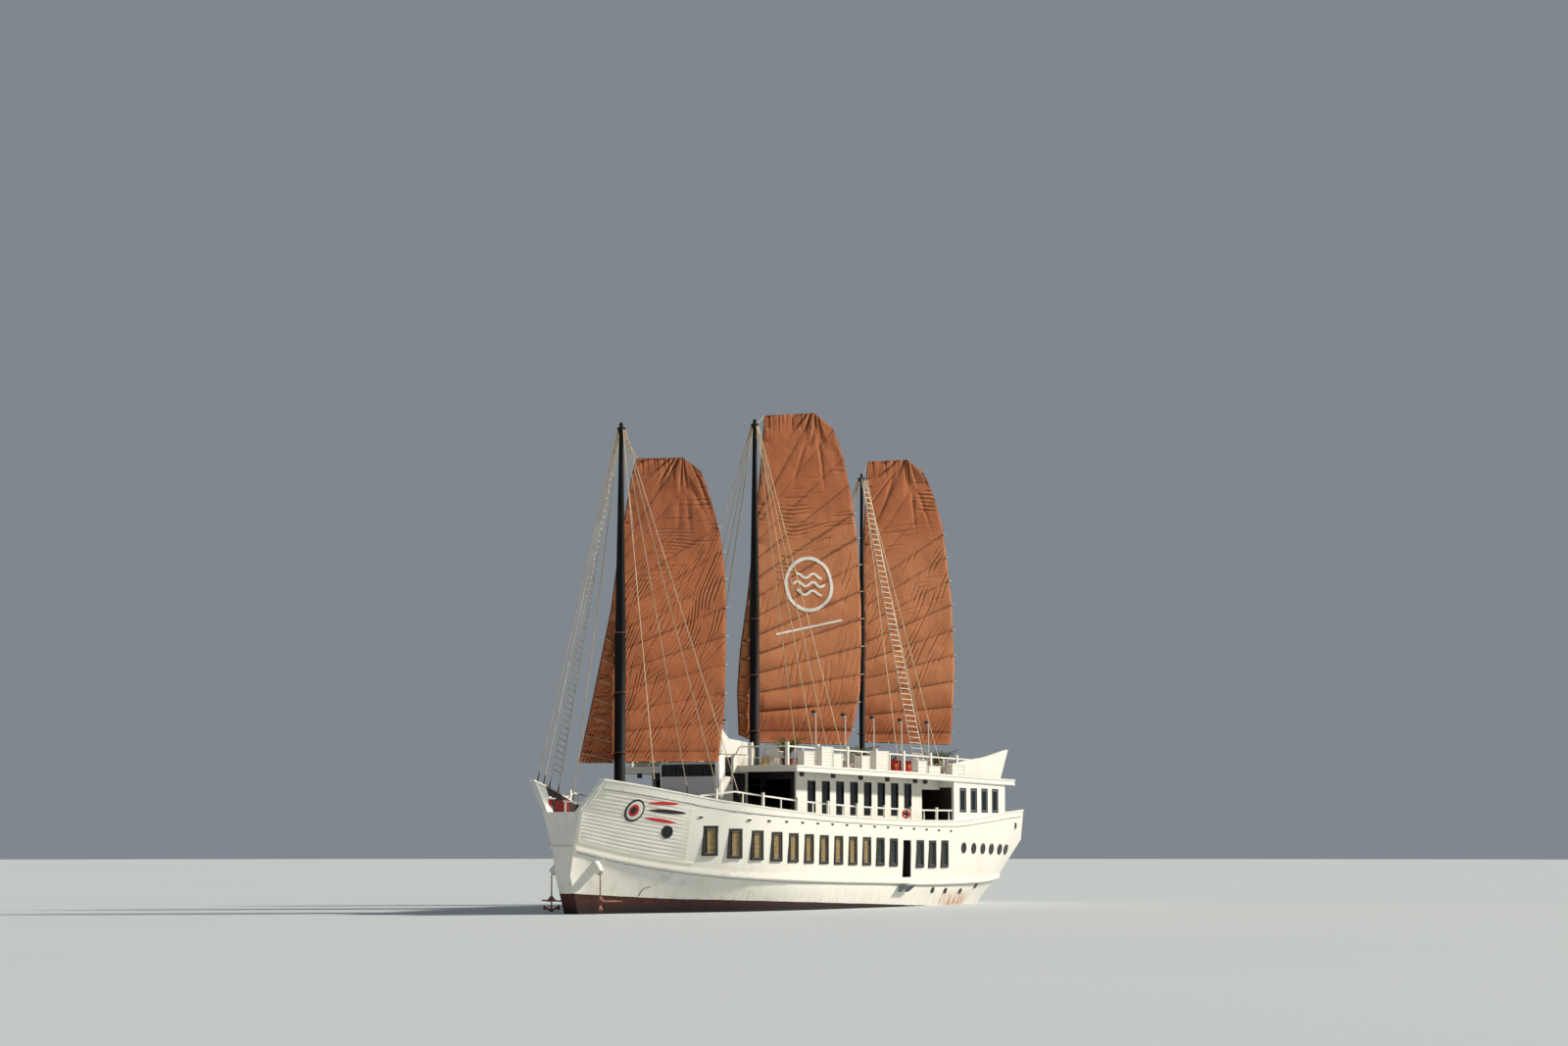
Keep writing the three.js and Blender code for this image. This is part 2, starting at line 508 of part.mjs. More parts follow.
// Air units along the sun deck's edge on one plinth
function deckUnits(side) {
  const [near, far] = [side * UNIT_FACES.inner, side * UNIT_FACES.outer].sort((a, b) => a - b);
  const [x0, x1] = [-10800, 5650];
  const plinth = prismXZ([[x0, roofTop(x0) + GAP], [x1, roofTop(x1) + GAP], [x1, roofTop(x1) + 50],
    [x0, roofTop(x0) + 50]], near + 20, far - 20);
  return join([plinth, ...UNITS.map(([x, wide, high]) => box(x - wide / 2, x + wide / 2, near, far,
    roofTop(x + wide / 2) + 20, roofTop(x) + high))]);
}

function mast({ x, foot, top, r0, r1 }) {
  const profile = [[0, foot + GAP], [r0 + 130, foot + GAP], [r0 + 130, foot + 90], [r0, foot + 110],
    [r0 * 0.98, foot + (top - foot) * 0.45], [r1, top - 60], [r1 * 0.5, top], [0, top]];
  const geometry = new THREE.LatheGeometry(profile.map(([r, z]) => new THREE.Vector2(r, z)), 20);
  return solid(geometry.rotateX(Math.PI / 2).translate(x, 0, 0));
}

const mastRadius = ({ foot, top, r0, r1 }, z) => {
  const knee = foot + (top - foot) * 0.45;
  return z < knee ? r0 : THREE.MathUtils.lerp(r0 * 0.98, r1, (z - knee) / (top - 60 - knee));
};

// A smooth line through table rows, with the ends kept
function smooth(rows, steps) {
  const curve = new THREE.CatmullRomCurve3(rows.map(([a, b]) => v3(a, 0, b)), false, 'centripetal');
  return curve.getPoints(steps).map((p) => [p.x, p.z]);
}

// Sails are drawn in their own frame: x aft of the mast, y to starboard, z up
const sailOutline = ({ luff, leech }) => [...luff, ...smooth(leech, 18)];

const parrelHeights = ({ foot }) => [0, 3, 6].map((i) => foot + i * BATTENS.atMast);

function sailCloth(name) {
  const sail = SAILS[name];
  const sheet = prismXZ(sailOutline(sail), CLOTH.near, CLOTH.near + CLOTH.thick);
  const slots = parrelHeights(sail).map((z) => box(-75, 75, CLOTH.near - 50, CLOTH.near + 100, z - 75, z + 75));
  return cut(sheet, slots);
}

// Where a line of the sail's own frame leaves the outline
function crossing(outline, from, to) {
  const hits = outline.map((p, i) => {
    const q = outline[(i + 1) % outline.length];
    const [ex, ez, dx, dz] = [q[0] - p[0], q[1] - p[1], to[0] - from[0], to[1] - from[1]];
    const det = dx * ez - dz * ex;
    const t = ((p[0] - from[0]) * ez - (p[1] - from[1]) * ex) / det;
    const s = ((p[0] - from[0]) * dz - (p[1] - from[1]) * dx) / det;
    return s >= 0 && s <= 1 ? t : null;
  }).filter((t) => t !== null);
  const at = (t) => [from[0] + t * (to[0] - from[0]), from[1] + t * (to[1] - from[1])];
  return [at(Math.min(...hits)), at(Math.max(...hits))];
}

// The rope sewn round the sail's edge, as a flat band inside the outline
function boltRope(outline, y) {
  const wide = 55;
  const inside = outline.map(([a, z], i) => {
    const before = outline[(i + outline.length - 1) % outline.length];
    const after = outline[(i + 1) % outline.length];
    const along = new THREE.Vector2(after[0] - before[0], after[1] - before[1]).normalize();
    return [a + along.y * wide, z - along.x * wide];
  });
  return prismXZ(outline, y - 26, y + 26).subtract(prismXZ(inside, y - 60, y + 60));
}

// Battens, yard, boom and the bolt rope that joins their ends, with the parrels round the mast
function sailSpars(name) {
  const sail = SAILS[name];
  const mastRow = MASTS[name];
  const outline = sailOutline(sail);
  const y = CLOTH.near + CLOTH.thick + YARD.radius + 6;
  const at = ([a, z]) => v3(a, y, z);
  const pieces = [boltRope(outline, y)];
  for (let i = 0; i < BATTENS.count; i += 1) {
    const mastZ = sail.foot + i * BATTENS.atMast;
    const leechZ = sail.foot + BATTENS.lift + i * BATTENS.atLeech;
    const [a, b] = crossing(outline, [0, mastZ], [5600, leechZ]);
    pieces.push(bar(at(a), at(b), BATTENS.radius, BATTENS.radius * 0.8, 4));
  }
  const luffTop = sail.luff[sail.luff.length - 1][1];
  const heelZ = sail.foot + (luffTop - sail.foot) * YARD.footShare;
  const [heel] = crossing(outline, [-3000, heelZ], [6000, heelZ]);
  pieces.push(bar(at(heel), at(sail.leech[0]), YARD.radius, YARD.radius * 0.7, 6));
  parrelHeights(sail).forEach((z) => {
    const inner = mastRadius(mastRow, z - 60) + LOOSE + 6;
    const ring = bar(v3(0, 0, z - 30), v3(0, 0, z + 30), inner + 26, inner + 26, 16)
      .subtract(bar(v3(0, 0, z - 60), v3(0, 0, z + 60), inner, inner, 16));
    const start = crossing(outline, [0, z], [5600, z])[0][0];
    pieces.push(ring, box(-30, 30, inner + 12, y, z - 25, z + 25),
      box(-30, Math.max(30, start + 80), y - 25, y + 25, z - 25, z + 25));
  });
  return join(pieces);
}

function stays({ mast: mastName, side, feet, on }) {
  const row = MASTS[mastName];
  const z = row.top - 300;
  const [deep, tall, pitch] = [40, 90, 55];
  const y0 = side * (mastRadius(row, z - tall - 20) + deep + GAP);
  const half = feet.length * pitch / 2 + 15;
  const pieces = [box(row.x - half, row.x + half, y0 - deep, y0 + deep, z - tall, z + tall)];
  feet.forEach((x, i) => {
    const y = side * (on === 'cap' ? capAt(x).y - STAY_FOOT.capInset : STAY_FOOT.roofY);
    const low = on === 'cap' ? Math.max(capAt(x - 40).z, capAt(x + 40).z) + GUARD.capHigh : roofTop(x + 40);
    const top = v3(row.x + ((feet.length - 1) / 2 - i) * pitch, y0, z);
    pieces.push(box(x - 30, x + 30, y - 30, y + 30, low + GAP, low + 240));
    pieces.push(bar(v3(x, y, low + 150), top, ROPE.radius, ROPE.radius, ROPE.sides));
  });
  return join(pieces);
}

// Keel bar under the bottom, then the skeg that carries the shaft
function skeg(hullBody) {
  const { bow, stern, half, bottom } = SKEG;
  const keel = prismXZ([[14600, -1350], [15100, -1620], [14300, -1900], [bow, -1950], [bow, -1350]], -half, half);
  const blade = prismXZ([[bow + 10, -1950], [bow + 10, -1000], [stern, -500], [stern, bottom], [-9000, bottom]],
    -half, half);
  const bore = bar(v3(stern - 50, 0, PROP.z), v3(stern + 500, 0, PROP.z), PROP.shaft + 6, PROP.shaft + 6, 16);
  const boss = bar(v3(stern, 0, PROP.z), v3(stern + 900, 0, PROP.z), 150, 100, 16);
  return clearOf(join([keel, blade, boss]).subtract(bore), hullBody);
}

function propeller() {
  const { x, z, radius, hub, blades, shaft } = PROP;
  const pieces = [bar(v3(x - 20 - 330, 0, z), v3(x - 20, 0, z), hub * 0.6, hub, 16),
    bar(v3(x - 40, 0, z), v3(x + 380, 0, z), shaft, shaft, 16)];
  for (let i = 0; i < blades; i += 1) {
    const blade = new THREE.SphereGeometry(1, 12, 6);
    blade.scale(20, 190, (radius - hub * 0.3) / 2).rotateZ(0.6).translate(0, 0, hub * 0.3 + (radius - hub * 0.3) / 2);
    blade.rotateX(i * 2 * Math.PI / blades + Math.PI / 4).translate(x - 170, 0, z);
    pieces.push(solid(blade));
  }
  return join(pieces);
}

function rudder() {
  const { x, stock, bow, stern, top, bottom, half } = RUDDER;
  const plan = [[bow, 0], [bow - 120, half], [x - 100, half], [stern, 12], [stern, -12], [x - 100, -half],
    [bow - 120, -half]];
  return join([prismXY(plan, bottom, top), bar(v3(x, 0, top - 100), v3(x, 0, 300), stock, stock, 20)]);
}

// Hawse pipes low on each bow, cones that lean down and out to their mouths
const HAWSE = { x: 17300, z: 2170, radius: 310, mouth: 165, inboard: [-100, -260, 230], outboard: [115, 340, -340] };
function hawsePlaces() {
  const y = breadthAt(HAWSE.x, HAWSE.z);
  const at = ([dx, dy, dz], side) => v3(HAWSE.x + dx, side * (y + dy), HAWSE.z + dz);
  return [1, -1].map((side) => [at(HAWSE.inboard, side), at(HAWSE.outboard, side)]);
}

function hawse([from, to]) {
  const along = to.clone().sub(from).normalize();
  return bar(from.clone().add(along.clone().multiplyScalar(GAP)), to, HAWSE.radius, HAWSE.mouth, 16)
    .subtract(bar(to.clone().sub(along.clone().multiplyScalar(260)), to.clone().add(along), 110, 110, 12));
}

// Stocked anchor hanging from its hawse down to the water
const ANCHOR = { stock: 1000, stockZ: 585, heading: 120.7, bottom: 60 };
function anchor([, to], side) {
  const { x, y } = to;
  const turn = THREE.MathUtils.degToRad(side * ANCHOR.heading);
  const along = v3(Math.cos(turn), Math.sin(turn), 0);
  const across = v3(-along.y, along.x, 0);
  const at = (a, b, z) => v3(x, y, z).addScaledVector(along, a).addScaledVector(across, b);
  const shank = bar(at(0, 0, ANCHOR.bottom + 60), at(0, 0, to.z - 60), 34, 26, 8);
  const stock = bar(at(-ANCHOR.stock, 0, ANCHOR.stockZ), at(ANCHOR.stock, 0, ANCHOR.stockZ), 34, 34, 8);
  const collar = bar(at(0, 0, ANCHOR.stockZ - 40), at(0, 0, ANCHOR.stockZ + 230), 300, 40, 4);
  const arms = [-1, 1].map((k) => bar(at(0, 0, ANCHOR.bottom + 60), at(0, k * 330, ANCHOR.bottom + 240), 55, 35, 8));
  const flukes = [-1, 1].map((k) => bar(at(0, k * 300, ANCHOR.bottom + 130), at(0, k * 370, ANCHOR.bottom + 330),
    130, 30, 4));
  return join([shank, stock, collar, ...arms, ...flukes]);
}

function windlass() {
  const x = 15600;
  const bed = box(x - 500, x + 500, -800, 800, DECK_Z + GAP, DECK_Z + 120);
  const cheeks = [-620, 620].map((y) => box(x - 280, x + 280, y - 60, y + 60, DECK_Z + 100, DECK_Z + 780));
  const drum = bar(v3(x, -780, DECK_Z + 560), v3(x, 780, DECK_Z + 560), 190, 190, 16);
  const motor = box(x - 380, x - 150, -350, 350, DECK_Z + 100, DECK_Z + 620);
  return join([bed, ...cheeks, drum, motor]);
}

// Leaf of the boarding door, folded back against the lobby's side
const BOARDING_LEAF = { long: 785, thick: 45, outer: 5100 };
function boardingDoor() {
  const x = DOORWAY.x - DOORWAY.wide / 2;
  const { long, thick, outer } = BOARDING_LEAF;
  return box(x + 15, x + 15 + thick, outer - long, outer, DOORWAY.sill + 15, DOORWAY.head - 15);
}

// Fixed step under the boarding doorway on two brackets
const STEP = { bow: -3480, stern: -4460, out: 5520, top: 1105, bracket: 740 };
function boardingStep(hullBody) {
  const inside = 4800;
  const plate = box(STEP.stern, STEP.bow, inside, STEP.out, STEP.top - 50, STEP.top);
  const gusset = [[inside, STEP.bracket], [inside, STEP.top - 20], [STEP.out - 20, STEP.top - 20],
    [STEP.out - 20, STEP.top - 90], [5120, STEP.bracket]];
  const brackets = [STEP.stern + 130, STEP.bow - 130].map((x) => prismYZ(gusset, x - 35, x + 35));
  return clearOf(join([plate, ...brackets]), hullBody);
}

// Towing posts on one base at each end
function bitts(x) {
  const base = box(x - 180, x + 180, -900, 900, DECK_Z + GAP, DECK_Z + 60);
  const posts = [-600, 600].map((y) => bar(v3(x, y, DECK_Z + 40), v3(x, y, DECK_Z + 620), 110, 110, 12));
  return join([base, ...posts, bar(v3(x, -820, DECK_Z + 430), v3(x, 820, DECK_Z + 430), 50, 50, 8)]);
}

const ship = new THREE.Group();
function place(name, body, colour, parent = ship) {
  const [color, roughness, metalness] = COLOURS[colour];
  const mesh = new THREE.Mesh(geometryOf(body), new THREE.MeshStandardMaterial({ color, roughness, metalness }));
  mesh.name = name;
  parent.add(mesh);
  return mesh;
}

const hullBody = hull();
const guards = [1, -1].map(guardRail);
place('hull', hullBody, 'hull');
place('skeg', skeg(hullBody), 'antifoul');
for (const [side, word] of [[1, 'port'], [-1, 'stbd']]) {
  place(`rub_rail_${word}`, rubRail(hullBody, side), 'white');
  place(`guard_rail_${word}`, guards[side > 0 ? 0 : 1], 'white');
  place(`stern_fin_${word}`, fin(side), 'white');
  place(`deck_units_${word}`, deckUnits(side), 'white');
}
place('roof', roof(), 'white');
place('deckhouse', deckhouse(), 'white');
place('afthouse', [hullBody, ...guards].reduce(clearOf, afthouse()), 'white');
place('wheelhouse', wheelhouse(), 'grey');
place('wheelhouse_floor', wheelhouseFloor(), 'grey');
place('wheelhouse_door', pilotDoor(), 'white');
place('bridge_coaming', bridge(), 'white');
place('sun_rail', sunRail(), 'white');
hawsePlaces().forEach((ends, i) => {
  const word = i === 0 ? 'port' : 'stbd';
  place(`hawse_${word}`, hawse(ends), 'white');
  place(`anchor_${word}`, anchor(ends, i === 0 ? 1 : -1), 'rust');
});
place('windlass', windlass(), 'red');
place('bow_bitts', bitts(17000), 'dark');
place('stern_bitts', bitts(-17600), 'dark');
place('boarding_door', boardingDoor(), 'white');
place('boarding_step', boardingStep(hullBody), 'grey');
place('propeller', propeller(), 'bronze');
place('rudder', rudder(), 'antifoul');
for (const [name, row] of Object.entries(MASTS)) {
  place(`${name}_mast`, mast(row), 'black');
  const rig = new THREE.Group();
  rig.position.x = row.x;
  rig.rotation.z = THREE.MathUtils.degToRad(180 - SAIL_ANGLE);
  ship.add(rig);
  place(`${name}_sail`, sailCloth(name), 'sail', rig);
  place(`${name}_battens`, sailSpars(name), 'bamboo', rig);
}
for (const [name, row] of Object.entries(STAYS)) place(`${name}_stays`, stays(row), 'rope');

export default ship;
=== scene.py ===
"""A three-masted junk of about 37 m, afloat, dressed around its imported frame.

Metres. +X is the bow, +Y is port, +Z is up, and the water line is at z = 0.
"""

import json
import math

import bmesh
import bpy
import numpy as np
from bpy.props import FloatProperty, FloatVectorProperty, IntProperty, PointerProperty
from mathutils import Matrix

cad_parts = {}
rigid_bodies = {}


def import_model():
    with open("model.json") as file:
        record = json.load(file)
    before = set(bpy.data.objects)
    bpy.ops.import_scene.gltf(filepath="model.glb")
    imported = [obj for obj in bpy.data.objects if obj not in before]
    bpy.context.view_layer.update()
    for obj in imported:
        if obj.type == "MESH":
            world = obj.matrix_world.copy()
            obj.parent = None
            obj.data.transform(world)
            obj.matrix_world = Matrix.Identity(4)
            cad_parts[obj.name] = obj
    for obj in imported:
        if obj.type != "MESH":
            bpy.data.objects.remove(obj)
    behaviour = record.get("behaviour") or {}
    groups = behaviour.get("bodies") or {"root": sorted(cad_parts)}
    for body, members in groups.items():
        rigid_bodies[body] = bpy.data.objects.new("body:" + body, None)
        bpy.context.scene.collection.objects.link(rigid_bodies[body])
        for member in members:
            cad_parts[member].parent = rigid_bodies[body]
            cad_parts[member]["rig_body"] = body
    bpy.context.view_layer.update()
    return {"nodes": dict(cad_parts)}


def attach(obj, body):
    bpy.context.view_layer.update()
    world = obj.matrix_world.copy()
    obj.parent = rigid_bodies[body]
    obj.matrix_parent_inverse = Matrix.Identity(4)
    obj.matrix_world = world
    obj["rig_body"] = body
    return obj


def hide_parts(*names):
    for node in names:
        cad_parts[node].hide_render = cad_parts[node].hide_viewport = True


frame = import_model()

bl_info = {
    "name": "Three-masted junk",
    "version": (1, 0, 0),
    "blender": (4, 5, 0),
    "location": "View3D > Sidebar > Junk",
    "description": "Dresses the packed model of a three-masted junk with finishes, sails, rigging, glass "
                   "and deck gear",
    "category": "Add Mesh",
}

# Hull lines, from stern to bow, as the frame has them: rows of x and half breadth or height
CAP_Z = [(-18.6, 4.86), (-16.54, 4.73), (-12.64, 4.42), (-9.62, 4.25), (-6.82, 4.24), (-1.58, 4.31),
         (3.26, 4.44), (7.68, 4.67), (11.08, 4.96), (13.72, 5.34), (16.4, 5.73), (18.18, 5.95)]
RUB_Z = [(-17.3, 1.5), (-12.82, 1.22), (-6.98, 1.18), (-1.74, 1.31), (3.1, 1.41), (7.52, 1.55),
         (10.74, 1.71), (13.36, 1.99), (16.02, 2.42), (18.45, 2.96)]
CAP_Y = [(-18.6, 4.4), (-16.8, 4.6), (-13, 4.85), (-9, 5.05), (-4, 5.15), (1, 5.2), (5, 5.17), (8, 5.06),
         (10.5, 4.72), (12.5, 3.93), (14.5, 3.22), (16.5, 2.56), (18.18, 2.0)]
BELT_Y = [(-18.5, 4.3), (-16.8, 4.52), (-13, 4.83), (-9, 5.03), (-4, 5.14), (1, 5.17), (5, 5.14), (7.6, 5.06),
          (9.77, 4.74), (11.07, 4.36), (12.4, 3.8), (14.5, 2.9), (16.5, 1.98), (18.6, 1.0)]
RUB_Y = [(-17.3, 3.5), (-16, 4.15), (-13, 4.68), (-9, 4.95), (-4, 5.06), (1, 5.12), (4.5, 5.1), (7.1, 5.01),
         (8.47, 4.85), (9.77, 4.58), (11.07, 4.2), (12.24, 3.64), (14.5, 2.48), (16.5, 1.5), (18.45, 0.59)]
KNUCKLE_Y = [(-16.9, 3.2), (-15.5, 3.9), (-12.5, 4.45), (-8, 4.82), (-2, 4.95), (3, 4.95), (6.5, 4.8),
             (9, 4.45), (11, 3.85), (13.5, 2.7), (16, 1.45), (18.44, 0.4)]
KNUCKLE_Z = [(-16.9, 1.0), (-12, 0.7), (-2, 0.65), (6.5, 0.8), (12, 1.15), (18.44, 1.7)]
WATER_Y = [(-16.3, 2.79), (-14.5, 3.5), (-12, 4.15), (-8, 4.6), (-2, 4.75), (3, 4.7), (6.5, 4.45), (9, 4.0),
           (11, 3.35), (13.5, 2.2), (16, 1.08), (17.76, 0.38)]
BELT_SHARE = 0.55                                        # where the belt runs between rub rail and cap
BOW_EDGE = [(2.96, 18.45), (4.6, 18.6), (5.95, 18.18)]   # height and place of the side plating's fore edge

WINDOW = {"wide": 0.83, "high": 1.37, "deep": 0.11, "pitch": 1.375, "sternmost": -2.805, "count": 12,
          "above_rub": 1.42}
AFT_WINDOWS = (-5.62, -6.98, -8.37)
SALOON_WINDOW = {"first": 3.45, "pitch": 1.38, "count": 8, "wide": 0.8, "sill": 4.5, "head": 6.15,
                 "half": 4.1}
AFTER_WINDOW = {"first": -10.7, "pitch": 1.33, "count": 4, "wide": 0.82, "sill": 4.72, "head": 5.98}

# After house: half breadth at its fore end, that end's place, how much it narrows aft, and over what length
AFTER_SIDE = (4.94, -9.6, 0.29, 6.35)

# Sails: mast place, foot batten's height at the mast, luff from foot to head, leech from head to foot,
# each point as distance abaft the mast and height; the yard's heel; upper seams as height at the mast
# and slope
SAILS = {
    "fore": {"x": 13.91, "foot": 7.3, "heel": (0.1, 16.62), "seams": [(15.2, 0.824), (16.0, 1.036)],
             "luff": [(-1.87, 6.83), (-1.2, 9.7), (-0.28, 13.88), (0.1, 16.58), (0.78, 20.24), (1.04, 21.0)],
             "leech": [(3.4, 21.18), (4.38, 20.56), (4.91, 19.24), (5.39, 17.73), (5.65, 15.93),
                       (5.71, 14.39), (5.71, 12.4), (5.66, 9.66), (5.56, 8.73), (5.31, 6.95)]},
    "main": {"x": 1.98, "foot": 8.62, "heel": (0.35, 19.31),
             "seams": [(16.9, 0.74), (17.73, 0.88), (18.56, 1.12)],
             "luff": [(0.3, 8.1), (-0.65, 8.44), (-0.74, 10.53), (-0.58, 12.61), (-0.17, 15.24),
                      (0.46, 20.73), (0.73, 23.65), (0.79, 24.34)],
             "leech": [(3.61, 24.64), (4.7, 23.91), (5.27, 22.53), (5.73, 20.61), (6.1, 18.34), (6.3, 15.16),
                       (6.32, 13.02), (6.23, 10.74), (5.88, 9.1), (5.47, 8.06)]},
    "mizzen": {"x": -8.81, "foot": 8.8, "heel": (0.35, 18.52), "seams": [(16.75, 0.949), (17.5, 1.28)],
               "luff": [(0.2, 8.38), (0.23, 12.0), (0.3, 18.0), (0.61, 23.1)],
               "leech": [(3.01, 23.33), (4.03, 22.68), (4.64, 21.51), (5.2, 19.81), (5.5, 17.78),
                         (5.73, 15.8), (5.9, 12.46), (5.76, 9.95), (5.62, 8.33)]},
}
# Cloth's folds on each sail: angle from level in degrees, space between folds, their length, depth, lowest
# and highest place in the fan of seams, and how far abaft the mast they begin
FOLDS = {
    "fore": [(66, 0.17, 1.3, 0.05, -1, 9, -9), (48, 0.2, 0.8, 0.03, -1, 9, -9),
             (7, 0.19, 1.1, 0.055, 7.2, 10.2, 0.6), (70, 0.4, 2.4, 0.02, 11.2, 13, -9)],
    "main": [(72, 0.3, 0.9, 0.022, -1, 8.4, -9), (40, 0.24, 0.7, 0.016, -1, 8.4, 2.5),
             (6, 0.2, 1.2, 0.06, 6.7, 11, 0.9), (62, 0.45, 2.6, 0.012, 12.2, 14, -9)],
    "mizzen": [(62, 0.24, 1.0, 0.035, -1, 8.4, -9), (10, 0.2, 1.1, 0.055, 5.2, 10.4, 0.7),
               (66, 0.4, 2.2, 0.014, 11.2, 13, -9)],
}
PUFF = {"fore": 0.6, "main": 1.35, "mizzen": 1.0}   # share of the belly that each sail's panels have
# Masts: place and top. Stays: the feet on each side, on the hull's cap or on the roof
MASTS = {"fore": (13.91, 22.58), "main": (1.98, 24.06), "mizzen": (-8.81, 22.4)}
STAYS = {
    ("fore", 1): (15.22, 13.42, 11.74, 10.56), ("fore", -1): (17.58, 16.68, 15.8, 14.44, 11.74),
    ("main", 1): (4.9, 3.15, 1.68, 0.21), ("main", -1): (4.9, 3.15, 1.68, 0.21),
    ("mizzen", 1): (-5.15, -6.88, -8.5, -9.82), ("mizzen", -1): (-5.15, -6.88, -8.5, -9.82),
}
LADDERS = {("mizzen", 1): (-6.88, -8.05), ("fore", -1): (15.8, 14.44)}
STAY_FOOT = {"cap_inset": 0.182, "roof_y": 4.2, "rail": 0.07}
# Air units on the sun deck's edge: middle, width and height
UNITS = [(5.12, 1.01, 0.68), (3.41, 1.08, 0.95), (2.37, 0.89, 0.66), (-0.35, 0.81, 0.65), (-2.04, 1.29, 0.95),
         (-6.2, 0.97, 0.62), (-7.52, 1.26, 0.4), (-10.1, 1.4, 0.57)]
BATTENS = {"count": 9, "at_mast": 0.92, "at_leech": 1.34, "lift": 0.15, "leech": 5.6}
SAIL_TURN = math.radians(150)      # heading of the sails at rest
CLOTH_OFFSET = 0.352               # from the mast's middle to the flat cloth
INTO = -0.02                       # how far trim reaches into the plating behind it
CLOTH_WIDTH, WEAVE = 0.86, 900.0   # one cloth of a sail, and its threads' turns in a metre
EAVE = 0.26                        # from the roof's top to its underside


def paint(code):
    """A colour written as in a paint chart, turned into the linear numbers that shaders use."""
    parts = [int(code[i:i + 2], 16) / 255 for i in (0, 2, 4)]
    return tuple(p / 12.92 if p <= 0.04045 else ((p + 0.055) / 1.055) ** 2.4 for p in parts)


# Sums on the ship's lines


def curve(rows, x):
    """Cubic through the rows with slopes that never overshoot: each slope is the harmonic mean of its two
    neighbours, or nought where they differ in sign."""
    xs, ys = np.array(rows, float).T
    steps = np.diff(ys) / np.diff(xs)
    before, after = steps[:-1], steps[1:]
    total = np.where(before * after > 0, before + after, 1)
    inner = np.where(before * after > 0, 2 * before * after / total, 0)
    slopes = np.concatenate([steps[:1], inner, steps[-1:]])
    x = np.clip(x, xs[0], xs[-1])
    i = np.clip(np.searchsorted(xs, x, side="right") - 1, 0, len(xs) - 2)
    h = xs[i + 1] - xs[i]
    t = (x - xs[i]) / h
    return ((2 * t**3 - 3 * t**2 + 1) * ys[i] + (t**3 - 2 * t**2 + t) * h * slopes[i]
            + (3 * t**2 - 2 * t**3) * ys[i + 1] + (t**3 - t**2) * h * slopes[i + 1])


def breadth(x, z):
    """Half breadth of the hull: straight lines from the cap to the belt, the rub rail, the knuckle and
    the water line."""
    cap_z, rub_z = curve(CAP_Z, x), curve(RUB_Z, x)
    belt_z = rub_z + BELT_SHARE * (cap_z - rub_z)
    cap, belt, rub = curve(CAP_Y, x), curve(BELT_Y, x), curve(RUB_Y, x)
    upper = belt + (cap - belt) * (z - belt_z) / (cap_z - belt_z)
    middle = rub + (belt - rub) * (z - rub_z) / (belt_z - rub_z)
    knuckle_z, knuckle, water = curve(KNUCKLE_Z, x), curve(KNUCKLE_Y, x), curve(WATER_Y, x)
    flare = knuckle + (rub - knuckle) * (z - knuckle_z) / (rub_z - knuckle_z)
    low = water + (knuckle - water) * z / knuckle_z
    return np.where(z > belt_z, upper, np.where(z > rub_z, middle, np.where(z > knuckle_z, flare, low)))


def on_side(x, z, out=0.0, side=1):
    """Points on the ship's side, moved outwards across it."""
    x, z = np.broadcast_arrays(np.asarray(x, float), np.asarray(z, float))
    return np.stack([x, side * (breadth(x, z) + out), z], -1)


def side_normal(x, z, side=1):
    """Outward normal of the fair side, square to its slopes along the ship and up it."""
    ahead, rise = 0.5, 0.25
    along = (breadth(x + ahead, z) - breadth(x - ahead, z)) / (2 * ahead)
    up = (breadth(x, z + rise) - breadth(x, z - rise)) / (2 * rise)
    return unit(np.stack([-along, np.broadcast_to(side, np.shape(along)), -up], -1))


def side_turn(x, z, side=1):
    """Heading of the side plating, as a turn about the upright."""
    return side * np.arctan2(breadth(x + 0.2, z) - breadth(x - 0.2, z), 0.4)


def roof_top(x):
    """The roof falls evenly towards the stern."""
    return 6.49 + (np.asarray(x, float) + 17.0) * (6.82 - 6.49) / 23.34


def unit(vectors):
    return vectors / np.maximum(np.linalg.norm(vectors, axis=-1, keepdims=True), 1e-12)


def square_to(along):
    """Two directions for each given one, square to it and to each other."""
    helper = np.where(np.abs(along[..., 2:3]) > 0.9, [1.0, 0, 0], [0, 0, 1.0])
    aside = unit(np.cross(along, helper))
    return aside, np.cross(along, aside)


def noise(x, y, seed):
    """Smooth value noise: random numbers on a lattice, eased between its points, from -1 to 1."""
    table = np.random.default_rng(seed).uniform(-1, 1, (64, 64))
    x, y = np.broadcast_arrays(np.asarray(x, float), np.asarray(y, float))
    i, j = np.floor(x).astype(int), np.floor(y).astype(int)
    u, v = x - i, y - j
    u, v = u * u * (3 - 2 * u), v * v * (3 - 2 * v)
    at = lambda a, b: table[(i + a) % 64, (j + b) % 64]
    return (at(0, 0) * (1 - u) + at(1, 0) * u) * (1 - v) + (at(0, 1) * (1 - u) + at(1, 1) * u) * v


def ramp(value):
    """The value itself, but never under 0 or over 1."""
    return np.clip(value, 0, 1)


def ridge(x, y, seed, sharp):
    """1 where smooth noise crosses nought, falling evenly to 0 on both sides."""
    return 1 - np.minimum(1, sharp * np.abs(noise(x, y, seed)))


# Shapes


def turned(points, angle, centre=(0, 0, 0)):
    """Points turned about an upright line through the centre."""
    points = np.asarray(points, float) - centre
    c, s = np.cos(angle), np.sin(angle)
    x, y = points[..., 0] * c - points[..., 1] * s, points[..., 0] * s + points[..., 1] * c
    return np.stack([x, y, points[..., 2]], -1) + centre


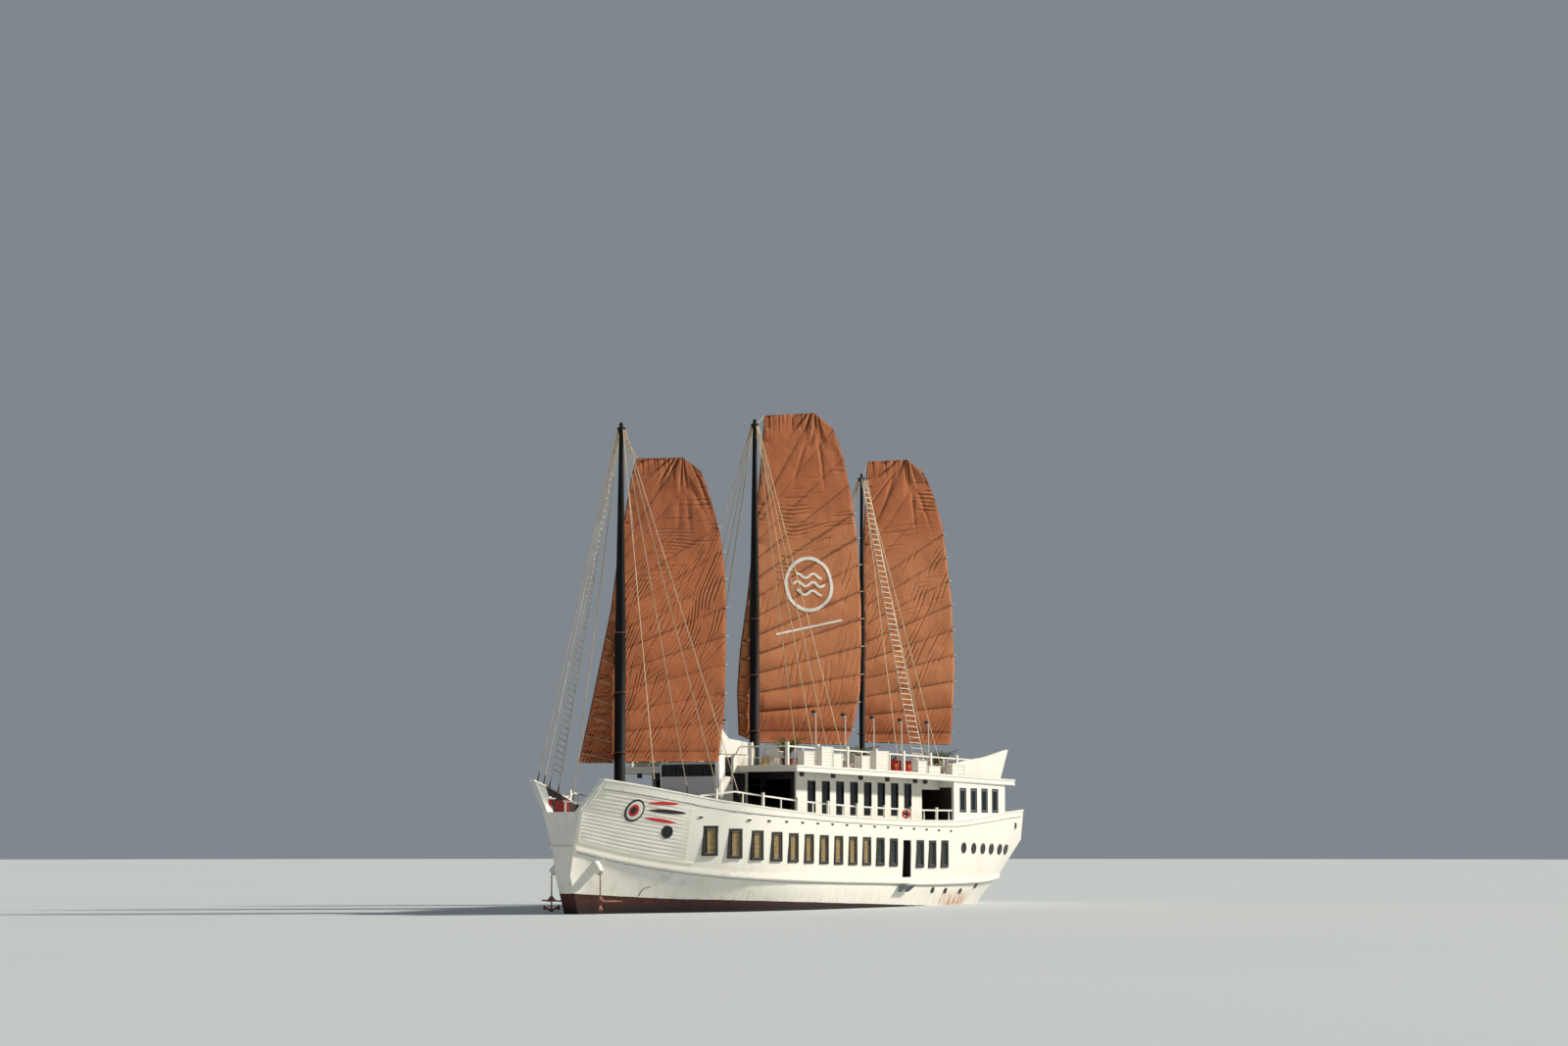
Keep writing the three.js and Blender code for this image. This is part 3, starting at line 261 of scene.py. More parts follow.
class Shape:
    """Points and faces of one piece, gathered from whole arrays."""

    def __init__(self):
        self.points, self.faces, self.finishes, self.maps, self.count = [], [], [], [], 0

    def add(self, points, faces, finish=0, spread=None):
        points = np.asarray(points, float).reshape(-1, 3)
        self.points.append(points)
        self.faces += [[int(k) + self.count for k in face] for face in faces]
        self.finishes += [finish] * len(faces)
        self.maps.append(np.zeros((len(points), 2)) if spread is None else np.reshape(spread, (-1, 2)))
        self.count += len(points)
        return self

    def grid(self, points, wrap=False, caps=False, finish=0, spread=None):
        """Quads over a grid of points. Wrap joins its last column to its first, and caps close both ends."""
        points = np.asarray(points, float)
        rows, cols = points.shape[:2]
        i = np.arange(rows - 1)[:, None]
        j = np.arange(cols if wrap else cols - 1)[None, :]
        k = (j + 1) % cols
        quads = np.stack([i * cols + j, i * cols + k, (i + 1) * cols + k, (i + 1) * cols + j], -1)
        faces = quads.reshape(-1, 4).tolist()
        if caps:
            faces += [list(range(cols))[::-1], list(range((rows - 1) * cols, rows * cols))]
        return self.add(points, faces, finish, spread)

    def bars(self, starts, ends, radius, sides=6, finish=0, taper=1.0):
        """Round bars: a ring of equal steps about each start and each end, joined by quads and closed."""
        a, b = np.atleast_2d(np.asarray(starts, float)), np.atleast_2d(np.asarray(ends, float))
        a, b = np.broadcast_arrays(a, b)
        aside, lift = square_to(unit(b - a))
        turn = np.arange(sides)[:, None] * 2 * np.pi / sides
        ring = (np.cos(turn) * aside[:, None] - np.sin(turn) * lift[:, None]) * radius
        points = np.stack([a[:, None] + ring, b[:, None] + ring * taper], 1)
        j = np.arange(sides)
        quads = np.stack([j, (j + 1) % sides, sides + (j + 1) % sides, sides + j], -1)
        base = np.arange(len(a))[:, None, None] * 2 * sides
        faces = (base + quads[None]).reshape(-1, 4).tolist()
        ends_of = np.arange(len(a))[:, None] * 2 * sides
        faces += (ends_of + j[None, ::-1]).tolist() + (ends_of + sides + j[None]).tolist()
        return self.add(points, faces, finish)

    def boxes(self, centres, sizes, turns=0.0, finish=0):
        """Boxes: each corner is the centre and half the size along each way, turned about the upright."""
        centres = np.atleast_2d(np.asarray(centres, float))
        sizes = np.broadcast_to(np.asarray(sizes, float), centres.shape)
        signs = np.array([(x, y, z) for z in (-1, 1) for x, y in ((-1, -1), (1, -1), (1, 1), (-1, 1))]) / 2
        corners = signs[None] * sizes[:, None]
        turns = np.broadcast_to(np.asarray(turns, float), (len(centres),))[:, None]
        points = turned(corners, turns) + centres[:, None]
        quads = np.array([(3, 2, 1, 0), (4, 5, 6, 7), (0, 1, 5, 4), (1, 2, 6, 5), (2, 3, 7, 6), (3, 0, 4, 7)])
        faces = (np.arange(len(centres))[:, None, None] * 8 + quads[None]).reshape(-1, 4)
        return self.add(points, faces.tolist(), finish)

    def lathe(self, profile, centre=(0, 0, 0), axis=(0, 0, 1), steps=24, finish=0):
        """A profile of radius and height turned round an axis, closed at both ends."""
        profile = np.asarray(profile, float)
        axis = unit(np.asarray(axis, float))
        aside, lift = square_to(axis)
        turn = np.arange(steps)[:, None] * 2 * np.pi / steps
        ring = np.cos(turn) * aside + np.sin(turn) * lift
        points = np.asarray(centre) + profile[:, None, :1] * ring + profile[:, None, 1:] * axis
        return self.grid(points, wrap=True, caps=True, finish=finish)

    def strake(self, x, base, profile, side, finish=0, tall=1.0):
        """A closed profile of height and reach carried along the ship's side: each station's ring stands on
        the base line, given as a height for each x, is as tall as asked, and reaches out from the plating."""
        x, profile = np.asarray(x, float)[:, None], np.asarray(profile, float)
        tall = np.broadcast_to(tall, x[:, 0].shape)[:, None]
        z = np.broadcast_to(base, x[:, 0].shape)[:, None] + profile[:, 0] * tall
        return self.grid(on_side(x, z, profile[:, 1], side), wrap=True, caps=True, finish=finish)

    def disc(self, x, z, radius, out, side, finish=0, steps=32):
        """A round patch on the side: rings of the radius round its middle, under and over the plating."""
        turn = np.linspace(0, 2 * np.pi, steps, endpoint=False)
        rings = [(0.03, INTO), (1, INTO), (1, out * 0.8), *((k, out) for k in np.linspace(0.95, 0.03, 9))]
        rows = np.array(rings)
        reach = rows[:, :1] * radius
        lean = math.cos(float(side_turn(x, z)))
        along, up = x + reach * np.cos(turn) * lean, z + reach * np.sin(turn)
        return self.grid(on_side(along, up, rows[:, 1:], side), wrap=True, caps=True, finish=finish)

    def wheel(self, centre, axis, radius, tube, steps=28, sides=10, finish=0):
        """A ring: a circle of the tube's radius carried round the axis."""
        axis = unit(np.asarray(axis, float))
        aside, lift = square_to(axis)
        turn, small = np.linspace(0, 2 * np.pi, steps + 1)[:, None], np.arange(sides) * 2 * np.pi / sides
        ring = np.cos(turn)[..., None] * aside + np.sin(turn)[..., None] * lift
        points = np.asarray(centre) + ring * (radius + tube * np.cos(small))[None, :, None] \
            + (tube * np.sin(small))[None, :, None] * axis
        return self.grid(points, wrap=True, finish=finish)

    def build(self, name, body, slot, finishes, sharp=35.0, closed=True, mapped=False):
        """Puts the arrays in a mesh, shades it smooth up to the sharp angle and rides it on its body."""
        mesh = bpy.data.meshes.new(name)
        mesh.from_pydata(np.concatenate(self.points), [], self.faces)
        for finish in finishes if isinstance(finishes, (list, tuple)) else [finishes]:
            mesh.materials.append(FINISHES[finish]())
        mesh.polygons.foreach_set("material_index", self.finishes)
        if mapped:
            corners = np.empty(len(mesh.loops), np.int64)
            mesh.loops.foreach_get("vertex_index", corners)
            layer = mesh.uv_layers.new(name="spread")
            layer.data.foreach_set("uv", np.concatenate(self.maps)[corners].ravel())
        if closed:
            face_outwards(mesh)
        mesh.shade_smooth()
        mesh.set_sharp_from_angle(angle=math.radians(sharp))
        piece = bpy.data.objects.new(name, mesh)
        bpy.context.scene.collection.objects.link(piece)
        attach(piece, body)
        return piece


def face_outwards(mesh):
    """Turns every closed shell of a mesh so that its faces point out."""
    work = bmesh.new()
    work.from_mesh(mesh)
    bmesh.ops.remove_doubles(work, verts=work.verts, dist=0.00002)
    bmesh.ops.recalc_face_normals(work, faces=work.faces)
    work.to_mesh(mesh)
    work.free()


def fair_side_normals(mesh):
    """Gives the side plating the normals of the fair lines, so that the slivers beside the windows don't
    show."""
    count = len(mesh.loops)
    corners, points = np.empty(count, np.int64), np.empty(len(mesh.vertices) * 3)
    mesh.loops.foreach_get("vertex_index", corners)
    mesh.vertices.foreach_get("co", points)
    x, y, z = points.reshape(-1, 3)[corners].T
    faces, totals = np.empty(len(mesh.polygons) * 3), np.empty(len(mesh.polygons), np.int64)
    mesh.polygons.foreach_get("normal", faces)
    mesh.polygons.foreach_get("loop_total", totals)
    flat = np.repeat(faces.reshape(-1, 3), totals, axis=0)
    side = np.where(y < 0, -1.0, 1.0)
    fair = side_normal(x, z, side)
    near = (np.sum(fair * flat, -1) > math.cos(math.radians(26))) & (z > -0.2)
    near &= np.abs(np.abs(y) - breadth(x, z)) < 0.05
    mesh.normals_split_custom_set(np.where(near[:, None], fair, 0.0).tolist())


def fair_copy(node, finish, sharp=30.0):
    """A copy of a frame node with its loose triangles merged, so that it can be shaded smooth."""
    source = frame["nodes"][node]
    mesh = source.data.copy()
    work = bmesh.new()
    work.from_mesh(mesh)
    bmesh.ops.remove_doubles(work, verts=work.verts, dist=0.00005)
    work.to_mesh(mesh)
    work.free()
    mesh.materials.clear()
    mesh.materials.append(FINISHES[finish]())
    mesh.shade_smooth()
    mesh.set_sharp_from_angle(angle=math.radians(sharp))
    piece = bpy.data.objects.new(f"{node}_fair", mesh)
    bpy.context.scene.collection.objects.link(piece)
    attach(piece, source["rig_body"])
    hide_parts(node)
    return piece


def dress(node, finish):
    """Gives a frame node its finish through its object's own slot."""
    piece = frame["nodes"][node]
    slot = piece.material_slots[0]
    slot.link = "OBJECT"
    slot.material = FINISHES[finish]()


# Shader sums


class Value:
    """A node's output that can stand in a sum; every sum adds its Math node to the same tree."""

    def __init__(self, finish, socket):
        self.finish, self.socket = finish, socket

    def math(self, operation, *parts):
        return self.finish.node("Math", {"operation": operation}, dict(enumerate(parts)))

    def __add__(self, other):
        return self.math("ADD", self, other)

    def __sub__(self, other):
        return self.math("SUBTRACT", self, other)

    def __rsub__(self, other):
        return self.math("SUBTRACT", other, self)

    def __mul__(self, other):
        return self.math("MULTIPLY", self, other)

    __radd__, __rmul__ = __add__, __mul__

    def __truediv__(self, other):
        return self.math("DIVIDE", self, other)

    def most(self, other):
        return self.math("MAXIMUM", self, other)

    def size(self):
        return self.math("ABSOLUTE", self)

    def part(self):
        return self.math("FRACT", self)

    def sine(self):
        return self.math("SINE", self)

    def step(self, low, high):
        """Eases from 0 at low to 1 at high."""
        settings = {"interpolation_type": "SMOOTHSTEP"}
        return self.finish.node("MapRange", settings, {0: self, 1: low, 2: high, 3: 0.0, 4: 1.0})

    def fall(self, low, high):
        """Eases from 1 at low to 0 at high."""
        return 1 - self.step(low, high)


class Finish:
    """One material, with the one method that adds any node to its tree."""

    def __init__(self, name):
        self.material = bpy.data.materials.new(name)
        self.material.use_nodes = True
        self.tree = self.material.node_tree
        self.shader = self.tree.nodes["Principled BSDF"]

    def put(self, socket, value):
        if isinstance(value, Value):
            self.tree.links.new(value.socket, socket)
        elif isinstance(value, tuple) and len(value) == 3 and socket.type == "RGBA":
            socket.default_value = (*value, 1.0)
        else:
            socket.default_value = value

    def node(self, kind, settings=None, sockets=None, out=0):
        made = self.tree.nodes.new("ShaderNode" + kind)
        for name, value in (settings or {}).items():
            if name == "stops":
                for i, (place, colour) in enumerate(value):
                    stop = made.color_ramp.elements[i] if i < 2 else made.color_ramp.elements.new(place)
                    stop.position, stop.color = place, (*colour, 1.0)
            else:
                setattr(made, name, value)
        for name, value in (sockets or {}).items():
            self.put(made.inputs[name], value)
        return Value(self, made.outputs[out])

    def place(self):
        return self.node("TexCoord", out="Object")

    def parts(self, vector=None):
        split = self.node("SeparateXYZ", None, {0: vector or self.place()})
        return [Value(self, socket) for socket in split.socket.node.outputs]

    def cloud(self, scale, detail=3.0, rough=0.5, stretch=(1, 1, 1), vector=None):
        """Noise from 0 to 1, stretched along the axes by the Mapping node's scale."""
        mapped = self.node("Mapping", None, {"Vector": vector or self.place(), "Scale": stretch})
        return self.node("TexNoise", None,
                         {"Vector": mapped, "Scale": scale, "Detail": detail, "Roughness": rough})

    def mix(self, a, b, share):
        return self.node("Mix", {"data_type": "RGBA", "blend_type": "MIX"}, {0: share, 6: a, 7: b}, out=2)

    def blend(self, first, second, share):
        """Two colours of the paint chart, mixed."""
        return self.mix(paint(first), paint(second), share)

    def bump(self, height, distance, strength=1.0):
        return self.node("Bump", None, {"Height": height, "Distance": distance, "Strength": strength})

    def wear(self, **sockets):
        """Sets the shader's sockets, named with underscores for spaces."""
        for name, value in sockets.items():
            self.put(self.shader.inputs[name.replace("_", " ")], value)
        return self.material


FINISHES = {}


def keep(name, maker):
    """Keeps one material for each name, made the first time that a piece asks for it."""
    made = []

    def once():
        if not made:
            made.append(maker(Finish(name)))
        return made[0]

    FINISHES[name] = once


def finish(maker):
    keep(maker.__name__, maker)
    return maker


def runs_down(f, across=6.0, up=0.35):
    """Noise drawn out downwards, as rain leaves it on paint."""
    return f.cloud(1.0, 5.0, 0.65, stretch=(across, across, up))


def aged_white(f, stain, dirt="9f998a"):
    """The white of the hull and houses, greyed where it is stained."""
    return f.mix(tuple(bpy.context.scene.junk_hull.paint), paint(dirt), stain)


def weathered(f, base, dirt, rough=0.45, amount=0.35):
    """Paint with soft stains, runs drawn out downwards, and an uneven brushed skin."""
    blotch = f.cloud(0.9, 4.0, 0.6)
    stain = (blotch.step(0.45, 0.8) * 0.5 + runs_down(f).step(0.5, 0.85) * 0.7) * amount
    fine = f.cloud(14.0, 3.0, 0.6)
    skin = f.bump(fine + blotch * 2.0, 0.004, 0.5)
    return f.wear(Base_Color=f.mix(base, dirt, stain), Roughness=fine * 0.15 + (rough - 0.08), Normal=skin)


# Plain weathered paints: colour, dirt, roughness and how much of it is stained
PAINTS = {
    "deck_paint": ("b5b2a6", "77736a", 0.6, 0.6),
    "grey_paint": ("8d9296", "565a5c", 0.5, 0.5),
    "black_paint": ("17171a", "3a3835", 0.4, 0.5),
    "frame_black": ("1d1c1a", "4a443a", 0.45, 0.5),
    "red_paint": ("8c1f18", "3f1512", 0.5, 0.6),
    "bright_red": ("d0281a", "7c1a14", 0.4, 0.5),
    "dark_iron": ("26262a", "4b3a30", 0.55, 0.6),
    "yellow_paint": ("b98f1e", "6f5514", 0.5, 0.5),
}
for paint_name, paint_row in PAINTS.items():
    keep(paint_name, lambda f, row=paint_row: weathered(f, paint(row[0]), paint(row[1]), *row[2:]))


def planks(f, across, width=0.14):
    """Laid deck: planks a width across, each of its own grey-brown, with dark seams."""
    seam = ((across / width).part() - 0.5).size()
    grain = f.cloud(1.2, 5.0, 0.6, stretch=(0.6, 9.0, 1.0))
    tone = f.blend("9b8466", "6f5c48", grain.step(0.3, 0.75))
    return f.mix(tone, paint("2e2720"), seam.step(0.44, 0.5))


@finish
def hull_plating(f):
    """White steel with dished plates, red-brown boot top, rust runs on the quarter, growth at the water."""
    x, y, z = f.parts()
    blotch = f.cloud(0.35, 4.0, 0.6)
    runs = runs_down(f, 5.0, 0.25)
    fine = f.cloud(9.0, 4.0, 0.6)
    stain = (blotch.step(0.5, 0.8) * 0.45 + runs.step(0.52, 0.85) * 0.6) * 0.32
    white = aged_white(f, stain, "b9b3a2")
    low = z.fall(0.0, 1.3)
    white = f.mix(white, paint("a79f8c"), low * runs.step(0.35, 0.75) * (x.step(-4, 6) * 0.3 + 0.22))
    # Rust spreads from the drains of the quarter down to the water
    quarter = (x + 10.2).size()
    streaks = f.cloud(1.4, 5.0, 0.7, stretch=(5, 1, 0.4)).step(0.42, 0.56)
    spread = quarter.fall(0.4, 3.0) * z.fall(0.15, 0.9) * (x * -1).step(6.0, 8.0)
    white = f.mix(white, paint("b4642c"), spread * streaks)
    specks = f.cloud(7.0, 4.0, 0.7, stretch=(1, 1, 0.6)).step(0.55, 0.7) * z.fall(0.05, 0.3)
    white = f.mix(white, paint("7a3d1a"), specks * quarter.fall(1.5, 4.5) * 0.9)
    # Painted reflection: a soft grey mottle on the plating below the rub rail towards the bow
    reflection_mottle = f.cloud(1.7, 5.0, 0.7).step(0.48, 0.7) * z.fall(1.6, 3.0) * x.step(3.0, 9.0)
    white = f.mix(white, paint("a8a08d"), reflection_mottle * 0.3)
    edge = (x * 0.0308 + 0.205).most(x * 0.06 - 0.19)
    wave = f.cloud(1.3, 3.0, 0.5) * 0.05
    boot = 1 - (z - edge - wave).step(-0.012, 0.012)
    red = f.blend("37160f", "50231a", f.cloud(2.2, 5.0, 0.7).step(0.3, 0.7))
    red = f.mix(red, paint("0c0907"), z.fall(0.08, 0.62) * (fine * 0.3 + 0.7))
    colour = f.mix(white, red, boot)
    # Painted shade: the boarding doorway's recess is near-black
    doorway_shade = y.fall(4.98, 5.0) * y.step(3.9, 4.0) * (z.step(1.4, 1.41) * z.fall(3.31, 3.32))
    colour = f.mix(colour, paint("16120f"), doorway_shade * x.step(-4.72, -4.7) * x.fall(-3.78, -3.76))
    # The bow's bulwarks are painted grey inside at the notch as shade, and dark brown abaft it, and the deck
    # is planked
    _, aside, up = f.parts(f.node("NewGeometry", out="Normal"))
    inner = (1 - (y * aside).step(-1.0, -0.6)) * z.step(3.95, 4.0) * x.step(9.0, 9.3)
    colour = f.mix(colour, f.blend("3d2c24", "98a09f", x.step(16.1, 16.25)), inner)
    deck = up.step(0.7, 0.8) * z.step(3.7, 3.8) * z.fall(3.95, 4.0)
    colour = f.mix(colour, planks(f, y), deck)
    height = f.cloud(0.55, 2.0, 0.5, stretch=(1, 1, 1.4)) * 0.8 + fine * 0.05
    return f.wear(Base_Color=colour, Roughness=boot * 0.35 + 0.38 + fine * 0.1,
                  Normal=f.bump(height, 0.05, 0.6))


@finish
def white_paint(f):
    return weathered(f, tuple(bpy.context.scene.junk_hull.paint), paint("9f998a"))


@finish
def house_paint(f):
    """White outside; dark brown grain on the end walls and inside, painted as their shade."""
    x, y, z = f.parts()
    stain = runs_down(f).step(0.5, 0.85) * 0.3
    grain = f.cloud(1.5, 5.0, 0.6, stretch=(1.0, 1.0, 0.2))
    wood = f.blend("2a1d15", "120e0c", grain.step(0.3, 0.7))
    # Painted shade: the rooms' walls and the after house's fore wall under its header take the dark grain
    room_shade = y.size().fall(4.0, 4.02) * x.step(-15.82, -15.8)
    end_wall_shade = y.size().fall(4.8, 4.82) * x.step(-9.78, -9.76) * x.fall(-9.4, -9.3) * z.fall(5.98, 6.0)
    colour = f.mix(aged_white(f, stain), wood, room_shade.most(end_wall_shade))
    return f.wear(Base_Color=colour, Roughness=grain * 0.2 + 0.4, Normal=f.bump(grain + stain, 0.006, 0.5))


@finish
def pilot_paint(f):
    """White wheelhouse, painted near-black inside as shade, its front tinted bluer as painted shade."""
    x, y, _ = f.parts()
    stain = runs_down(f)
    white = aged_white(f, stain.step(0.5, 0.85) * 0.3)
    # Painted shade: the front face is tinted bluer
    white = f.mix(white, paint("e2ebf6"), x.step(7.9, 8.0) * 0.9)
    # Painted shade: the inside is near-black
    inner = y.size().fall(1.63, 1.65) * x.fall(7.95, 7.965) * x.step(5.44, 5.46)
    return f.wear(Base_Color=f.mix(white, paint("191512"), inner), Roughness=stain * 0.15 + 0.38,
                  Normal=f.bump(stain, 0.005, 0.5))


@finish
def roof_paint(f):
    """White edges and eaves, a planked top, and a near-black ceiling over the open spaces, painted as their
    shade.
    """
    x, y, z = f.parts()
    level = z - (x * 0.014139 + 6.4704)
    stain = runs_down(f, 3.0, 0.5)
    white = aged_white(f, stain.step(0.5, 0.85) * 0.3)
    side = y.size()
    white = f.mix(white, planks(f, y), level.step(0.245, 0.25) * side.fall(4.85, 4.87))
    # Painted shade: the underside over the open spaces is near-black
    dark = level.fall(0.01, 0.015) * side.fall(4.28, 4.32)
    return f.wear(Base_Color=f.mix(white, paint("1c1815"), dark), Roughness=stain * 0.15 + 0.42,
                  Normal=f.bump(stain, 0.005, 0.5))


@finish
def plank_paint(f):
    """White paint over planks: grime lies in the seams, brush marks run along."""
    _, row, _ = f.parts(f.node("UVMap", {"uv_map": "spread"}))
    seam = (row.part() - 0.5).size().step(0.4, 0.5)
    brush = f.cloud(1.0, 5.0, 0.65, stretch=(0.8, 0.8, 9.0))
    stain = f.cloud(0.8, 4.0, 0.6).step(0.4, 0.8) * 0.3 + brush.step(0.45, 0.8) * 0.25
    white = aged_white(f, stain, "a9a090")
    return f.wear(Base_Color=f.mix(white, paint("8d8576"), seam * 0.5), Roughness=brush * 0.2 + 0.4,
                  Normal=f.bump(brush, 0.006, 0.6))


@finish
def rusty_iron(f):
    patch = f.cloud(6.0, 6.0, 0.7)
    colour = f.node("ValToRGB", {"stops": [(0.3, paint("5a3a2e")), (0.7, paint("b07a66"))]}, {0: patch})
    return f.wear(Base_Color=colour, Roughness=0.9, Metallic=0.2, Normal=f.bump(patch, 0.02, 0.8))


@finish
def bronze(f):
    patch = f.cloud(5.0, 4.0, 0.6)
    colour = f.blend("a77f3f", "5f5a3a", patch.step(0.4, 0.75))
    return f.wear(Base_Color=colour, Roughness=patch * 0.3 + 0.25, Metallic=0.9)


@finish
def antifouling(f):
    patch = f.cloud(1.5, 5.0, 0.7)
    colour = f.blend("5a261d", "3a2a1c", patch.step(0.35, 0.75))
    return f.wear(Base_Color=colour, Roughness=0.8, Normal=f.bump(patch, 0.02, 0.5))


@finish
def mast_paint(f):
    """Black paint over wood, with long grain showing and pale chafe."""
    grain = f.cloud(1.0, 5.0, 0.6, stretch=(14.0, 14.0, 0.6))
    colour = f.blend("0d0d0f", "2a2724", grain.step(0.45, 0.8))
    return f.wear(Base_Color=colour, Roughness=grain * 0.2 + 0.55, Specular_IOR_Level=0.2,
                  Normal=f.bump(grain, 0.006, 0.6))


@finish
def batten_wood(f):
    grain = f.cloud(2.0, 5.0, 0.6, stretch=(1.0, 1.0, 9.0))
    colour = f.blend("5d3421", "7d5233", grain.step(0.35, 0.7))
    return f.wear(Base_Color=colour, Roughness=0.75, Normal=f.bump(grain, 0.006, 0.6))


@finish
def stay_rope(f):
    """Pale laid rope, with the lay as slanting ribs."""
    x, y, z = f.parts()
    lay = (z * 90.0 + x * 60.0 + y * 60.0).sine() * 0.5 + 0.5
    colour = f.blend("e3cfae", "bfa37c", f.cloud(2.0, 4.0, 0.6).step(0.35, 0.75))
    return f.wear(Base_Color=colour, Roughness=0.9, Normal=f.bump(lay, 0.004, 0.6))


@finish
def rope_white(f):
    colour = f.blend("f0e4cf", "c9b594", f.cloud(3.0, 4.0, 0.6).step(0.35, 0.75))
    return f.wear(Base_Color=colour, Roughness=0.85)


@finish
def sail_cloth(f):
    """Rust-brown cloth: seams a cloth's width apart, stains, painted shade in the creases, painted highlight
    on the ridges, and a fine weave.
    """
    look = bpy.context.scene.junk_sails
    spread = f.node("UVMap", {"uv_map": "spread"})
    u, v, _ = f.parts(spread)
    crease = f.node("Attribute", {"attribute_name": "crease"}, out="Fac")
    blotch = f.cloud(0.5, 5.0, 0.6, vector=spread)
    streak = f.cloud(1.2, 5.0, 0.65, stretch=(2.5, 0.6, 1.0), vector=spread)
    base = f.mix(tuple(look.cloth), tuple(look.shade), blotch.step(0.35, 0.8) * 0.55)
    base = f.mix(base, tuple(look.faded), streak.step(0.5, 0.85) * 0.4)
    fore = f.parts()[0].step(5.0, 8.0)
    base = f.mix(base, tuple(look.faded), v.step(9, 12) * v.fall(17, 21) * (1 - fore) * 0.5 + 0.12)
    base = f.mix(base, tuple(look.shade), v.step(15, 19) * fore * 0.45)
    panel = (u / CLOTH_WIDTH).part()
    seam = panel.step(0.0, 0.03) * panel.fall(0.97, 1.0)
    base = f.mix(f.mix(base, tuple(look.shade), 0.3), base, seam)
    # Painted highlight where the cloth stands above its neighbours; painted shade where it lies below them
    # and just above each seam
    base = f.mix(base, tuple(look.faded), crease.step(0.5, 0.0) * 0.5)
    base = f.mix(base, paint("2f170d"), crease.step(0.55, 1.0) * 0.56)
    weave = (u * WEAVE).sine() * (v * WEAVE).sine()
    height = weave * 0.0006 + f.cloud(7.0, 4.0, 0.6, stretch=(2.0, 1.0, 1.0), vector=spread) * 0.02
    return f.wear(Base_Color=base, Roughness=0.92, Normal=f.bump(height, 1.0, 0.9))


@finish
def white_cloth(f):
    """Paint on the sail, thin where the folds rub."""
    rub = f.cloud(2.5, 5.0, 0.7)
    colour = f.blend("f0ece2", "c9a58c", rub.step(0.5, 0.85) * 0.5)
    return f.wear(Base_Color=colour, Roughness=0.85, Normal=f.bump(rub, 0.01, 0.5))


@finish
def dark_glass(f):
    smear = f.cloud(1.2, 3.0, 0.5)
    colour = f.blend("0a0c0c", "171b1a", smear)
    return f.wear(Base_Color=colour, Roughness=smear * 0.08 + 0.04, Specular_IOR_Level=0.45)


@finish
def clear_glass(f):
    smear = f.cloud(2.0, 3.0, 0.5)
    return f.wear(Base_Color=paint("1b2224"), Roughness=smear * 0.05 + 0.03, Alpha=0.22,
                  Specular_IOR_Level=0.6)


@finish
def amber_blind(f):
    """Split bamboo blind, warm, with its slats uneven in colour, and a faint glow that is painted light."""
    tone = f.cloud(3.0, 3.0, 0.6, stretch=(1.0, 1.0, 12.0))
    colour = f.blend("ecd193", "bd9450", tone.step(0.35, 0.7))
    return f.wear(Base_Color=colour, Roughness=0.7, Emission_Color=colour, Emission_Strength=0.16)


@finish
def grey_blind(f):
    tone = f.cloud(3.0, 3.0, 0.6, stretch=(1.0, 1.0, 6.0))
    colour = f.blend("5d6358", "2d312c", tone.step(0.35, 0.7))
    return f.wear(Base_Color=colour, Roughness=0.7)


# Near-black brown: painted shade standing for the dark space behind openings, doorways and blinds
@finish
def room_dark(f):
    tone = f.cloud(1.0, 3.0, 0.6)
    return f.wear(Base_Color=f.blend("1a1410", "0d0b0a", tone), Roughness=0.8)


@finish
def lamp_glass(f):
    tone = f.cloud(8.0, 2.0, 0.5)
    return f.wear(Base_Color=f.blend("d8d4c6", "b9b3a0", tone), Roughness=0.2)


@finish
def leaf_green(f):
    tone = f.cloud(3.0, 4.0, 0.6)
    return f.wear(Base_Color=f.blend("3f5a22", "7d8a34", tone.step(0.35, 0.7)), Roughness=0.6)


@finish
def floor_matte(f):
    tone = f.cloud(0.02, 2.0, 0.5)
    return f.wear(Base_Color=f.blend("c3c8c9", "bcc2c4", tone), Roughness=0.95)


# Sizes and colours that a user would change


class JunkStage(bpy.types.PropertyGroup):
    """Floor, light and camera."""
    lens: FloatProperty(name="Lens", description="Focal length of the camera, on a 36 mm sensor",
                        default=74.9, subtype="DISTANCE_CAMERA")
    camera: FloatVectorProperty(name="Camera", description="Place of the camera",
                                default=(139.17, 83.23, 3.3), subtype="XYZ", unit="LENGTH")
    heading: FloatProperty(name="Heading", description="Turn of the camera about the upright",
                           default=math.radians(120.726), subtype="ANGLE")
    rise: FloatProperty(name="Rise", description="How far the camera looks above level",
                        default=math.radians(5.55), subtype="ANGLE")
    sun: FloatProperty(name="Sun", description="Strength of the key light", default=4.5, min=0.0)
    sky: FloatProperty(name="Sky", description="Strength of the light from all round", default=0.27, min=0.0)
    floor: FloatProperty(name="Floor", description="Radius of the floor", default=420.0, unit="LENGTH")


class JunkHull(bpy.types.PropertyGroup):
    """Paint and trim of the hull."""
    paint: FloatVectorProperty(name="Paint", description="White of the hull and houses",
                               default=paint("efece1"), subtype="COLOR", min=0.0, max=1.0)
    groove: FloatProperty(name="Groove", description="Depth of the grooves between planks", default=0.008,
                          unit="LENGTH")
    port: FloatProperty(name="Port", description="Radius of the after portholes", default=0.285,
                        unit="LENGTH")


